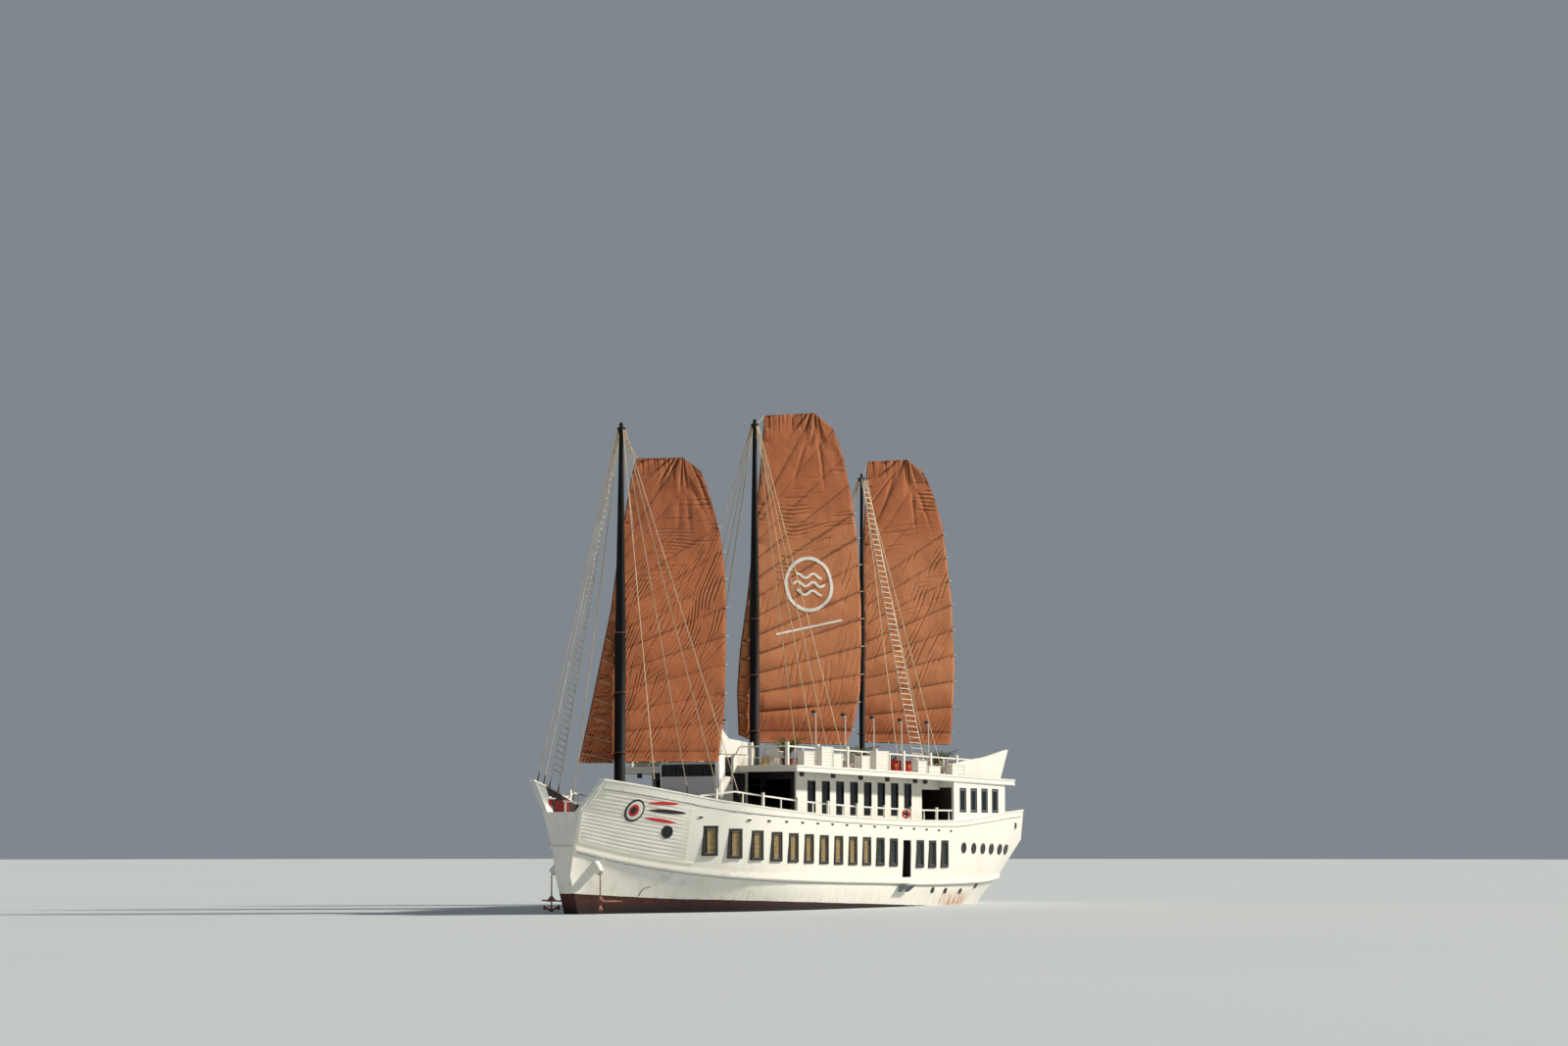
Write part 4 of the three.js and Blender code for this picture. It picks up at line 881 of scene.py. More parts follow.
class JunkSails(bpy.types.PropertyGroup):
    """Cloth of the three sails."""
    cloth: FloatVectorProperty(name="Cloth", description="Main colour of the cloth", default=paint("b3643a"),
                               subtype="COLOR", min=0.0, max=1.0)
    shade: FloatVectorProperty(name="Shade", description="Darker stains", default=paint("884626"),
                               subtype="COLOR", min=0.0, max=1.0)
    faded: FloatVectorProperty(name="Faded", description="Faded streaks", default=paint("cf8a5c"),
                               subtype="COLOR", min=0.0, max=1.0)
    belly: FloatProperty(name="Belly", description="How far the cloth puffs between two battens",
                         default=0.085, unit="LENGTH")
    across: IntProperty(name="Across", description="Steps of the cloth from luff to leech", default=200)
    up: IntProperty(name="Up", description="Steps of the cloth from foot to head", default=400)


def window_places():
    """The lower windows' places, a pitch apart along the side."""
    places, x = [], WINDOW["sternmost"]
    for _ in range(WINDOW["count"]):
        places.append(x)
        slope = float(breadth(x + 0.2, 3.0) - breadth(x - 0.2, 3.0)) / 0.4
        x += WINDOW["pitch"] / math.hypot(1, slope)
    return places + list(AFT_WINDOWS)


class JUNK_OT_stage(bpy.types.Operator):
    """Floor at the water line, soft daylight from the port quarter, and the camera"""
    bl_idname = "junk.stage"
    bl_label = "Stage"
    SIDES, RINGS = 96, (0.02, 0.2, 1.0)   # of the floor
    SENSOR, FAR = 36, 2000
    SKY = (0.8, 0.9, 1.0, 1)
    KEY = {"colour": (1.0, 0.94, 0.84), "size": 5, "height": 35, "heading": 131}   # angles in degrees

    def execute(self, context):
        look = context.scene.junk_stage
        self.floor(context, look.floor)
        self.light(context, look.sun)
        world = bpy.data.worlds.new("sky")
        world.use_nodes = True
        background = world.node_tree.nodes["Background"].inputs
        background["Color"].default_value, background["Strength"].default_value = self.SKY, look.sky
        context.scene.world = world
        context.scene.view_settings.view_transform = "Standard"
        camera = bpy.data.objects.new("camera", bpy.data.cameras.new("camera"))
        camera.data.lens, camera.data.sensor_width, camera.data.clip_end = look.lens, self.SENSOR, self.FAR
        camera.location = look.camera
        camera.rotation_euler = (math.pi / 2 + look.rise, 0, look.heading)
        context.scene.collection.objects.link(camera)
        context.scene.camera = camera
        return {"FINISHED"}

    def floor(self, context, radius):
        """Rings of equal steps round the ship, as shares of the radius, closed in the middle."""
        turn = np.linspace(0, 2 * np.pi, self.SIDES, endpoint=False)
        ring = np.stack([np.cos(turn), np.sin(turn), 0 * turn], -1)
        shape = Shape().grid(np.array(self.RINGS)[:, None, None] * radius * ring, wrap=True)
        mesh = bpy.data.meshes.new("floor")
        mesh.from_pydata(np.concatenate(shape.points), [], [*shape.faces, list(range(self.SIDES))])
        mesh.materials.append(FINISHES["floor_matte"]())
        piece = bpy.data.objects.new("floor", mesh)
        context.scene.collection.objects.link(piece)

    def light(self, context, strength):
        """A wide warm key light on the port quarter."""
        lamp = bpy.data.lights.new("key", "SUN")
        lamp.energy, lamp.color, lamp.angle = strength, self.KEY["colour"], math.radians(self.KEY["size"])
        piece = bpy.data.objects.new("key", lamp)
        height, heading = math.radians(self.KEY["height"]), math.radians(self.KEY["heading"])
        piece.rotation_euler = (math.pi / 2 - height, 0, heading + math.pi / 2)
        context.scene.collection.objects.link(piece)


class JUNK_OT_hull(bpy.types.Operator):
    """Hull plating, rails and underwater gear in their finishes"""
    bl_idname = "junk.hull"
    bl_label = "Hull"
    # Pieces shaded smooth: node, its finish, and the angle in degrees past which an edge stays sharp
    PAIRS = (("rub_rail", "white_paint", 24), ("guard_rail", "white_paint", 24), ("hawse", "white_paint", 40),
             ("anchor", "rusty_iron", 50))
    SINGLE = (("propeller", "bronze", 50), ("windlass", "red_paint", 40), ("bow_bitts", "dark_iron", 40),
              ("stern_bitts", "dark_iron", 40))
    # The boarding door takes the near-black finish as painted shade of the open doorway
    PLAIN = {"skeg": "antifouling", "rudder": "antifouling", "boarding_step": "grey_paint",
             "boarding_door": "room_dark"}

    def execute(self, context):
        hull = fair_copy("hull", "hull_plating", 24)
        fair_side_normals(hull.data)
        pairs = [(f"{node}_{side}", coat, sharp)
                 for side in ("port", "stbd") for node, coat, sharp in self.PAIRS]
        for node, coat, sharp in (*pairs, *self.SINGLE):
            fair_copy(node, coat, sharp)
        for node, coat in self.PLAIN.items():
            dress(node, coat)
        return {"FINISHED"}


class JUNK_OT_bow(bpy.types.Operator):
    """Planked bow panels with their mouldings, the painted eyes and the stem's trim"""
    bl_idname = "junk.bow"
    bl_label = "Bow"
    AFT, ROWS, STATIONS, FADE = 13.3, 15, 46, 0.9
    PLANK = (0.06, 0.5, 0.94)               # rows on one plank's face
    FOOT, HEAD, FORE = 0.36, 0.33, 0.14     # panel's edges over the rub rail, under the cap, abaft the stem
    BACK, FACE, RISE = -0.012, 0.004, 1.2   # how far it reaches out, and its planks' share of the groove
    EYE = (16.15, 4.62)
    # The eye's discs: radius, reach, finish and how far ahead. Its strokes: rise, start, length, half width
    # and finish
    DISCS = ((0.5, 0.036, 0, 0), (0.41, 0.044, 1, 0), (0.27, 0.052, 2, 0.05), (0.16, 0.06, 0, 0.07))
    STROKES = ((0.34, 0.6, 1.5, 0.075, 2), (0.02, 0.68, 1.85, 0.09, 0), (-0.32, 0.6, 1.5, 0.075, 2))
    NOTCH = 17.7                            # place of the rail across the bow's notch

    def execute(self, context):
        look = context.scene.junk_hull
        panel, trim, eye = Shape(), Shape(), Shape()
        for side in (1, -1):
            self.panel(panel, look, side)
            self.mouldings(trim, side)
            self.eye(eye, side)
        self.stem(trim)
        self.notch(trim)
        panel.build("bow_panels", "root", "white_paint", "plank_paint", 50, mapped=True)
        trim.build("bow_mouldings", "root", "white_paint", ["white_paint", "red_paint", "bright_red"])
        eye.build("bow_eyes", "root", "black_paint", ["black_paint", "white_paint", "bright_red"], 50)
        return {"FINISHED"}

    def edge(self, z):
        heights, places = np.array(BOW_EDGE).T
        return np.interp(z, heights, places)

    def panel(self, shape, look, side):
        """Planks from the aft end to the stem: rows keep their share of the height between the two edges, and
        each seam is cut to the groove's depth. The back lies inside the plating."""
        face = np.add.outer(np.arange(self.ROWS), self.PLANK).ravel()
        seams = np.arange(1, self.ROWS)
        rows = np.concatenate([[0, 0.001], face, seams, [self.ROWS - 0.001, self.ROWS]])
        proud = np.concatenate([[-1, 0], np.ones(len(face)), np.zeros(len(seams)), [0, -1]])
        order = np.argsort(rows, kind="stable")
        back = np.linspace(1, 0, 14)[1:-1]
        rows, proud = np.append(rows[order] / self.ROWS, back), np.append(proud[order], back * 0 - 1)
        share = np.linspace(0, 1, self.STATIONS)[:, None]
        low, high = curve(RUB_Z, 18.3) + self.FOOT, curve(CAP_Z, 18.1) - self.HEAD
        x = self.AFT + (self.edge(low + (high - low) * rows) - self.FORE - self.AFT) * share
        low, high = curve(RUB_Z, x) + self.FOOT, curve(CAP_Z, x) - self.HEAD
        fade = np.clip((x - self.AFT) / self.FADE, 0, 1) * np.clip(share * 40, 0, 1)
        out = np.where(proud < 0, self.BACK, self.FACE + look.groove * proud * self.RISE * fade)
        points = on_side(x, low + (high - low) * rows, out, side)
        shape.grid(points, wrap=True, caps=True, spread=np.stack([x, rows * self.ROWS + 0 * x], -1))

    def mouldings(self, shape, side):
        """Laths under and over the panel, and one along its fore edge."""
        x = np.linspace(12.9, 18.34, 40)
        shape.strake(x, curve(RUB_Z, x) + 0.27, [(0, INTO), (0, 0.05), (0.07, 0.05), (0.09, INTO)], side)
        x = np.linspace(13.1, 18.05, 36)
        shape.strake(x, curve(CAP_Z, x) - 0.33, [(0, INTO), (0, 0.035), (0.05, 0.035), (0.06, INTO)], side)
        z = np.linspace(3.25, 5.62, 24)[:, None]
        reach = np.array([(-0.16, INTO), (-0.16, 0.035), (-0.09, 0.035), (-0.09, INTO)])
        shape.grid(on_side(self.edge(z) + reach[:, 0], z, reach[:, 1], side), wrap=True, caps=True)

    def eye(self, shape, side):
        """A plain boat's eye of four discs, with three strokes behind it that taper as a sine does."""
        x, z = self.EYE
        for radius, out, tone, shift in self.DISCS:
            shape.disc(x + shift, z, radius, out, side, tone, 40)
        s = np.linspace(0, 1, 30)
        ring = np.array([(-1, INTO), (-1, 0.03), (1, 0.03), (1, INTO)])
        for rise, start, long, thick, tone in self.STROKES:
            along = x - start - long * s
            middle = z + rise * (1 + 0.3 * s) - 0.13 * s
            half = thick * np.sin(np.pi * np.clip(s, 0.02, 0.98)) ** 0.6
            height = middle[:, None] + half[:, None] * ring[:, 0]
            shape.grid(on_side(along[:, None], height, ring[:, 1], side), wrap=True, caps=True, finish=tone)

    def stem(self, shape):
        """Band across the stem at the rub rails' height, with the outline of a tapered panel above it."""
        shape.boxes([(18.47, 0, 2.97)], (0.12, 1.24, 0.1))
        low, high = 3.2, 4.42
        foot, head = (float(self.edge(z)) + 0.004 for z in (low, high))
        starts = [(head, -0.3, high), (head, 0.3, high), (head, -0.3, high)]
        shape.bars(starts, [(foot, -0.12, low), (foot, 0.12, low), (head, 0.3, high)], 0.022)

    def notch(self, shape):
        """Rail across the notch on three posts, a locker, and a post with a broad cap."""
        x = self.NOTCH
        shape.bars([(x, -0.51, 5.05)], [(x, 1.3, 4.87)], 0.03, 8)
        posts = (-0.4, 0.4, 1.2)
        shape.bars([(x, y, 4.0) for y in posts], [(x, y, 5.01 - 0.1 * y) for y in posts], 0.04, 8)
        shape.boxes([(x - 0.22, -0.76, 4.53)], (0.42, 0.52, 1.06), finish=1)
        shape.boxes([(x - 0.22, -0.76, z) for z in (5.07, 4.6)], (0.46, 0.56, 0.03), finish=1)
        shape.bars([(x, -1.25, 4.0)], [(x, -1.25, 5.13)], 0.07, 12, finish=2)
        cap = [(0.2, 5.13), (0.28, 5.15), (0.28, 5.18), (0.08, 5.21), (0.05, 5.27)]
        shape.lathe(cap, (x, -1.26, 0), steps=20)


class JUNK_OT_side(bpy.types.Operator):
    """Strakes along the sides, portholes, scuppers, fairleads and the lifebuoys"""
    bl_idname = "junk.side"
    bl_label = "Ship's side"
    PORTS = ((-10.6, 2.91), (-11.84, 2.88), (-13.02, 2.86), (-14.15, 2.84), (-15.34, 2.81), (-16.3, 2.79))
    LOW_PORTS = ((-7.32, 0.79), (-8.83, 0.74), (-10.77, 0.69), (-12.67, 0.95))
    BOW_PORT = (14.38, 3.67)
    SHEER = ((-18.6, 0.28), (-12, 0.24), (6, 0.24), (11.6, 0.34), (18.2, 0.36))   # its places and depths
    SCUPPERS = [12.79] + [10.18 - 1.375 * i for i in range(15)]
    FAIRLEAD = (-17.49, 0.72)         # place, and how far below the cap
    BUOY = {"x": -4.0, "z": 4.59, "radius": 0.17, "tube": 0.06, "bands": 4}
    # A thin rust-coloured dark arc on the port bow's plating
    SCAR = ((14.96, 0.78), (14.93, 0.96), (14.86, 1.08), (14.74, 1.17), (14.52, 1.2))

    def execute(self, context):
        look = context.scene.junk_hull
        trim, ports, bits = Shape(), Shape(), Shape()
        for side in (1, -1):
            self.strakes(trim, side)
            for x, z in self.PORTS:
                self.port(ports, x, z, look.port, side)
            for x, z in self.LOW_PORTS:
                self.port(ports, x, z, 0.165, side)
            self.port(ports, *self.BOW_PORT, 0.3, side)
            for x in self.SCUPPERS:
                z = 4.33 if x > 12 else 3.975 + 0.0235 * x
                self.opening(bits, x, z, side, 0.012, (0.17, 0.04, 0.07), [(0.02, 0.055)],
                             (0.22, 0.07, 0.025))
            x, below = self.FAIRLEAD
            z = float(curve(CAP_Z, x)) - below
            self.opening(bits, x, z, side, 0.015, (0.2, 0.04, 0.3), [(0, -0.17), (0, 0.17)],
                         (0.26, 0.07, 0.04))
        for side in (1, -1):
            self.lifebuoy(bits, side)
        dark_arc = np.array(self.SCAR)
        marks = on_side(dark_arc[:, 0], dark_arc[:, 1], 0.004)
        bits.bars(marks[:-1], marks[1:], 0.016, finish=3)
        trim.build("side_strakes", "root", "white_paint", ["white_paint", "grey_paint"])
        ports.build("portholes", "root", "black_paint", ["frame_black", "dark_glass", "grey_paint"])
        bits.build("side_fittings", "root", "white_paint",
                   ["white_paint", "room_dark", "bright_red", "rusty_iron"])
        return {"FINISHED"}

    def strakes(self, shape, side):
        """Sheer strake and rub rail's lip, each with a thin grey strip below it as a painted shadow line."""
        x = np.linspace(-18.3, 18.02, 110)
        deep = np.interp(x, *np.transpose(self.SHEER))
        foot = curve(CAP_Z, x) - deep
        shape.strake(x, foot, [(0, INTO), (0, 0.024), (0.96, 0.024), (1, INTO)], side, tall=deep - 0.01)
        # Thin grey strip: painted shadow under the sheer strake
        shape.strake(x, foot - 0.03, [(0, INTO), (0, 0.018), (0.03, 0.018), (0.03, INTO)], side, 1)
        x = np.linspace(-17.1, 18.3, 110)
        shape.strake(x, curve(RUB_Z, x) - 0.16, [(0, INTO), (0, 0.03), (0.06, 0.05), (0.08, INTO)], side)
        # Thin grey strip: painted shadow under the rub rail's lip
        shape.strake(x, curve(RUB_Z, x) - 0.2, [(0, INTO), (0, 0.008), (0.04, 0.008), (0.04, INTO)], side, 1)

    @staticmethod
    def opening(shape, x, z, side, out, size, lips, lip_size):
        """A near-black box on the plating, the painted shade of an opening, with lips given by how far out
        and up they stand from it.
        """
        at, turn = on_side(x, z, out, side), float(side_turn(x, z, side))
        shape.boxes([at], size, turn, finish=1)
        shape.boxes([at + [0, side * reach, up] for reach, up in lips], lip_size, turn)

    def lifebuoy(self, shape, side):
        """It hangs turned towards the bow, with four bands round its ring."""
        x, radius = self.BUOY["x"], self.BUOY["radius"]
        centre = np.array([x, side * (float(curve(CAP_Y, x)) + 0.05), self.BUOY["z"]])
        flat, up = np.array([-0.8, side * 0.6, 0]), np.array([0, 0, 1])
        shape.wheel(centre, (0.6, side * 0.8, 0), radius, self.BUOY["tube"], finish=2)
        for a in np.arange(self.BUOY["bands"]) * np.pi / 2 + 0.6:
            out, along = math.cos(a) * flat + math.sin(a) * up, math.cos(a) * up - math.sin(a) * flat
            shape.wheel(centre + radius * out, along, 0.064, 0.011, 12, 6)

    def port(self, shape, x, z, radius, side):
        """A ring proud of the plating round a pane that domes slightly."""
        raised = float(np.interp(x, [-16.5, -15, -13], [0.07, 0.04, 0.012]))
        centre, axis = on_side(x, z, raised, side), side_normal(np.array(x), np.array(z), side)
        rim = [(1, -0.04), (1, 0.015), (0.94, 0.028), (0.82, 0.026), (0.8, 0.0)]
        pane = [(0.8, -0.03), (0.8, 0.008), (0.4, 0.014), (0.01 / radius, 0.016)]
        for tone, profile in enumerate((rim, pane)):
            shape.lathe(np.array(profile) * [radius, 1], centre, axis, 32, tone)


def frame_bars(wide, high, rim, sill=1.0, back=0.0):
    """A window frame's four bars: middle along and up, width and height. The sill may be taller."""
    rise, reach, tall = (high - rim) / 2 - back, (wide - rim) / 2, high - 2 * rim
    return [(0, rise, wide, rim), (0, -rise, wide, rim * sill), (reach, 0, rim, tall), (-reach, 0, rim, tall)]


class JUNK_OT_windows(bpy.types.Operator):
    """Lower windows: black frames, blinds and glass in the hull's pockets"""
    bl_idname = "junk.windows"
    bl_label = "Lower windows"
    RIM, SASH, PROUD, SLATS, FORWARD = 0.1, 0.024, 0.03, 16, 10

    def execute(self, context):
        frames, glass, blinds = Shape(), Shape(), Shape()
        places = window_places()
        amber = sorted(places)[-self.FORWARD:]
        for side in (1, -1):
            for x in places:
                z = float(curve(RUB_Z, x)) + WINDOW["above_rub"]
                turn = float(side_turn(x, z, side))
                self.window(frames, glass, blinds, on_side(x, z, 0, side), turn, side, x in amber)
        frames.build("lower_window_frames", "root", "black_paint", ["frame_black", "grey_paint"])
        glass.build("lower_window_glass", "root", "black_paint", "clear_glass")
        blinds.build("lower_window_blinds", "root", "batten_wood", ["amber_blind", "grey_blind", "room_dark"])
        return {"FINISHED"}

    def window(self, frames, glass, blinds, centre, turn, side, amber):
        """One window in its own frame: a along the side towards the bow, d outwards, h up."""
        wide, high, rim = WINDOW["wide"] - 0.01, WINDOW["high"] - 0.01, self.RIM
        along = np.array([math.cos(turn), math.sin(turn), 0])
        out = side * np.array([-math.sin(turn), math.cos(turn), 0])
        at = lambda a, d, h: centre + along * a + out * d + np.array([0, 0, h])
        depth = 0.1 + self.PROUD
        middle = self.PROUD - depth / 2
        for a, h, w, t in frame_bars(wide, high, rim, 1.2):
            frames.boxes([at(a, middle, h)], (w, depth, t), turn)
        inner_wide, inner_high, sash = wide - 2 * rim, high - 2 * rim, self.SASH
        for k in (-1, 1):
            upright = at(k * (inner_wide - sash) / 2, -0.015, 0)
            level = at(0, -0.015, k * (inner_high - sash) / 2)
            frames.boxes([upright], (sash, 0.03, inner_high), turn, finish=1)
            frames.boxes([level], (inner_wide - 2 * sash, 0.03, sash), turn, finish=1)
        glass.boxes([at(0, -0.03, 0)], (inner_wide, 0.006, inner_high), turn)
        # A near-black sheet behind the blind: painted shade of the room beyond
        blinds.boxes([at(0, -0.1, 0)], (inner_wide, 0.008, inner_high), turn, finish=2)
        span = inner_wide * (0.68 if amber else 0.9)
        edge = -inner_wide / 2 + span / 2
        step = inner_high / self.SLATS
        heights = (np.arange(self.SLATS) + 0.5) * step - inner_high / 2
        places = np.stack([at(edge, -0.078, h) for h in heights])
        blinds.boxes(places, (span, 0.014, step * 0.86), turn, finish=0 if amber else 1)


class JUNK_OT_houses(bpy.types.Operator):
    """Deckhouse, after house, wheelhouse and roof with their windows"""
    bl_idname = "junk.houses"
    bl_label = "Houses"
    SASH, BEAD = 0.08, 0.035      # how far a sash stands in from its frame, and its thickness

    def execute(self, context):
        dress("roof", "roof_paint")
        dress("deckhouse", "house_paint")
        dress("afthouse", "house_paint")
        fair_copy("wheelhouse", "pilot_paint", 30)
        self.pilot_glass()
        dress("wheelhouse_floor", "deck_paint")
        for node in ("wheelhouse_door", "bridge_coaming"):
            fair_copy(node, "white_paint", 30)
        for node in ("stern_fin_port", "deck_units_port", "stern_fin_stbd", "deck_units_stbd", "sun_rail"):
            dress(node, "white_paint")
        self.side_windows("saloon_windows", SALOON_WINDOW, 0.055)
        self.side_windows("after_windows", AFTER_WINDOW, 0.05)
        return {"FINISHED"}

    @staticmethod
    def pilot_glass():
        """Dark panes and frames of the wheelhouse's band, starboard side and door."""
        panes, wide, high, tall = Shape(), 2.98, 0.57, 0.99
        panes.boxes([(7.995, 0, 6.59)], (0.02, wide, high), finish=1)
        panes.boxes([(8.01, y, 6.59) for y in (-1.47, -0.75, 0, 0.75, 1.47)], (0.06, 0.05, high))
        panes.boxes([(8.01, 0, z) for z in (6.32, 6.86)], (0.06, wide, 0.035))
        panes.boxes([(7.205, -1.66, 6.8)], (0.7, 0.02, tall), finish=1)
        panes.boxes([(x, -1.67, 6.8) for x in (6.87, 7.54)], (0.035, 0.06, tall))
        panes.build("pilot_panes", "root", "black_paint", ["frame_black", "dark_glass"])
        door, y, z, tall = Shape(), 1.6875, 6.76, 0.915
        door.boxes([(7.205, y, z)], (0.545, 0.012, tall), finish=1)
        door.boxes([(x, y, z) for x in (6.945, 7.465)], (0.025, 0.03, tall))
        door.boxes([(7.0, 1.735, 6.0)], (0.03, 0.04, 0.16))
        door.build("pilot_door_pane", "wheelhouse_door", "black_paint", ["frame_black", "dark_glass"])

    def side_windows(self, name, row, rim):
        """A row of dark panes in frames along a house's side. The after house narrows aft, so its windows
        turn with it, and each has a pale sash inside its frame."""
        shape = Shape()
        wide, high = row["wide"] - 0.01, row["head"] - row["sill"]
        fore, start, narrows, along = AFTER_SIDE
        for side in (1, -1):
            for i in range(row["count"]):
                x = row["first"] - i * row["pitch"]
                half, turn = row.get("half"), 0.0
                if half is None:
                    half, turn = fore - narrows * (start - x) / along, side * math.atan2(narrows, along)
                place = np.array([x, side * (half - 0.045), (row["head"] + row["sill"]) / 2])
                shape.boxes([place - [0, side * 0.02, 0]], (wide, 0.012, high - 0.01), turn, finish=1)
                for a, h, w, t in frame_bars(wide, high, rim, back=0.005):
                    shape.boxes([place + [a, a * math.sin(turn), h]], (w, 0.09, t), turn)
                    if turn:
                        near = [a * (1 - 2 * self.SASH / wide), a * math.sin(turn),
                                h * (1 - 2 * self.SASH / high)]
                        w, t = (self.BEAD if long < 0.1 else long - 2 * self.SASH for long in (w, t))
                        shape.boxes([place + near], (w, 0.05, t), turn, finish=2)
        shape.build(name, "root", "black_paint", ["frame_black", "dark_glass", "grey_paint"])


def spaced(line, count):
    """Points at even steps of length along a line."""
    line = np.asarray(line, float)
    run = np.concatenate([[0], np.cumsum(np.linalg.norm(np.diff(line, axis=0), axis=1))])
    at = np.linspace(0, run[-1], count)
    return np.stack([np.interp(at, run, line[:, k]) for k in range(line.shape[1])], -1)


class Sail:
    """One sail in its own frame: a abaft the mast, y to starboard, z up. Rows follow the battens."""
    SEEDS = {"fore": 3, "main": 11, "mizzen": 23}
    # Depths of the folds ahead of the mast, gathered to the peak, hung from the head and along the upper luff
    AHEAD, GATHER, HANG, SCALLOP = 0.05, 0.13, 0.05, 0.07
    THREAD = ((7.9, 0.3), (8, 0.42))   # darkness of the painted shade line above each seam, by place, up to the yard
    YARD_THREAD, WIDE, NARROW = 0.62, 0.16, 0.07

    def __init__(self, name):
        row = SAILS[name]
        self.name, self.x, self.foot = name, row["x"], row["foot"]
        self.luff = spaced(row["luff"], 600)
        self.leech = spaced(row["leech"][::-1], 600)
        self.keys = np.array([-1.0, *range(BATTENS["count"]), BATTENS["count"] + 2.0])
        self.shares = [self.crossings(edge) for edge in (self.luff, self.leech)]
        heel, peak, i = np.array(row["heel"]), self.leech[-1], np.arange(BATTENS["count"])
        rise = (peak[1] - heel[1]) / (peak[0] - heel[0])
        spread = BATTENS["at_leech"] - BATTENS["at_mast"]
        battens = np.stack([self.foot + BATTENS["at_mast"] * i,
                            (BATTENS["lift"] + spread * i) / BATTENS["leech"]], -1)
        self.seams = np.concatenate([battens, row["seams"], [(heel[1] - rise * heel[0], rise)]])
        self.heel = heel

    def crossings(self, edge):
        """Share of an edge's length at the foot, at each batten's line, and at the head."""
        rise = edge[:, 1] - self.foot - BATTENS["lift"] * edge[:, 0] / BATTENS["leech"]
        battens = rise / self.fan(edge[:, 0])
        inner = np.interp(np.arange(BATTENS["count"]), battens, np.linspace(0, 1, len(edge)))
        return np.concatenate([[0], np.maximum(inner, 0.002 * np.arange(1, len(inner) + 1)), [1]])

    @staticmethod
    def fan(a):
        """Space between two battens at a distance abaft the mast."""
        return BATTENS["at_mast"] + (BATTENS["at_leech"] - BATTENS["at_mast"]) * a / BATTENS["leech"]

    def rows(self, count):
        """Rows from foot to head at even steps of the edges' mean length."""
        return np.interp(np.linspace(0, 1, count), np.mean(self.shares, 0), self.keys)

    def panels(self, a, z):
        """Place in the fan of seams, counted from the foot batten's, and the height above the seam below."""
        gaps = z[..., None] - self.seams[:, 0] - self.seams[:, 1] * a[..., None]
        below = np.where(gaps >= 0, gaps, 2.5).min(-1)
        above = np.where(gaps < 0, -gaps, 2.5).min(-1)
        return np.sum(gaps >= 0, -1) - 1 + below / (below + above), below

    def ends(self, t):
        out = []
        for edge, shares in zip((self.luff, self.leech), self.shares):
            at = np.interp(t, self.keys, shares) * (len(edge) - 1)
            out.append(np.stack([np.interp(at, np.arange(len(edge)), edge[:, k]) for k in (0, 1)], -1))
        return out

    def flat(self, u, t):
        """Point of the flat sail: straight from the luff to the leech along a row."""
        luff, leech = self.ends(t)
        return luff + (leech - luff) * np.asarray(u)[..., None]

    def depth(self, a, z, u, belly):
        """How far the cloth stands out towards port: it puffs between seams, pinches in at each, and carries
        slanting folds: even waves across the fold, bent by smooth noise and broken into lengths by another.
        Folds gather to the yard's peak, pleats hang from the head, and scallops hang along the upper luff."""
        seed = self.SEEDS[self.name]
        place = self.panels(a, z)[0]
        high_up = np.interp(place, [7.8, 9], [1, 0.45])
        puff = np.abs(np.sin(np.pi * place)) ** 0.55 * high_up
        depth = puff * belly * PUFF[self.name] * (0.85 + 0.5 * noise(u * 4, place * 0.8, seed + 3))
        for k, (angle, space, long, high, bottom, top, first) in enumerate(FOLDS[self.name]):
            c, n = math.cos(math.radians(angle)), math.sin(math.radians(angle))
            along, across = a * c + z * n, a * n - z * c
            bend = noise(along * 0.45, across * 0.5, seed + k) * 0.3
            wave = np.maximum(np.sin(2 * np.pi * (across + bend) / space), 0) ** 2
            length = ramp(0.35 + 1.6 * noise(across / (space * 1.2), along / long, seed + 20 + k))
            zone = ramp((place - bottom) / 0.5) * ramp((top - place) / 0.5)
            zone = zone * np.clip((a - first) / 1.2, 0.12, 1)
            patch = np.clip(0.7 + 0.7 * noise(along * 0.4 + 7, across * 0.7, seed + k + 40), 0.25, 1)
            depth = depth - high * wave * length * zone * patch
        level = ridge((z - 0.1 * a) / 0.17, a * 1.1, seed + 15, 2.6)
        depth = depth - ramp((-a - 0.2) / 0.3) * level * self.AHEAD
        depth = depth + noise(a * 1.1, z * 1.3, seed + 8) * 0.025 + noise(a * 3.1, z * 3.1, seed + 9) * 0.006
        peak, throat = self.leech[-1], self.luff[-1]
        reach = np.hypot(a - peak[0], z - peak[1])
        ray = np.arctan2(peak[1] + 0.5 - z, a - peak[0] + 0.001)
        gathered = ramp(1 - reach / 4.2) * ramp(reach / 0.25)
        depth = depth - ridge(ray * 5.2, reach * 0.3, seed + 12, 2.4) * gathered * self.GATHER
        drop = throat[1] + (peak[1] - throat[1]) * (a - throat[0]) / (peak[0] - throat[0]) - z
        hang = ridge(a * 5.5, drop * 0.5, seed + 14, 2.4)
        depth = depth - hang * ramp(1 - drop / 1.1) * (a < peak[0]) * self.HANG
        scallop = ramp(1 - u / 0.12) * ramp((z - 16) / 2)
        depth = depth - scallop * ridge(z * 2.6, u * 3, seed + 13, 2.5) * self.SCALLOP
        hem = ramp(u / 0.03) * ramp((1 - u) / 0.02)
        return depth * (0.25 + 0.75 * hem)

    @staticmethod
    def creases(depth):
        """How deep each point lies below its surroundings, with 0.5 for level: the mean of its neighbours at
        two distances, less its own depth."""
        around = np.zeros_like(depth)
        for reach in (2, 5):
            for axis in (0, 1):
                around += np.roll(depth, reach, axis) + np.roll(depth, -reach, axis)
        return ramp(0.5 + (around / 8 - depth) * 22)

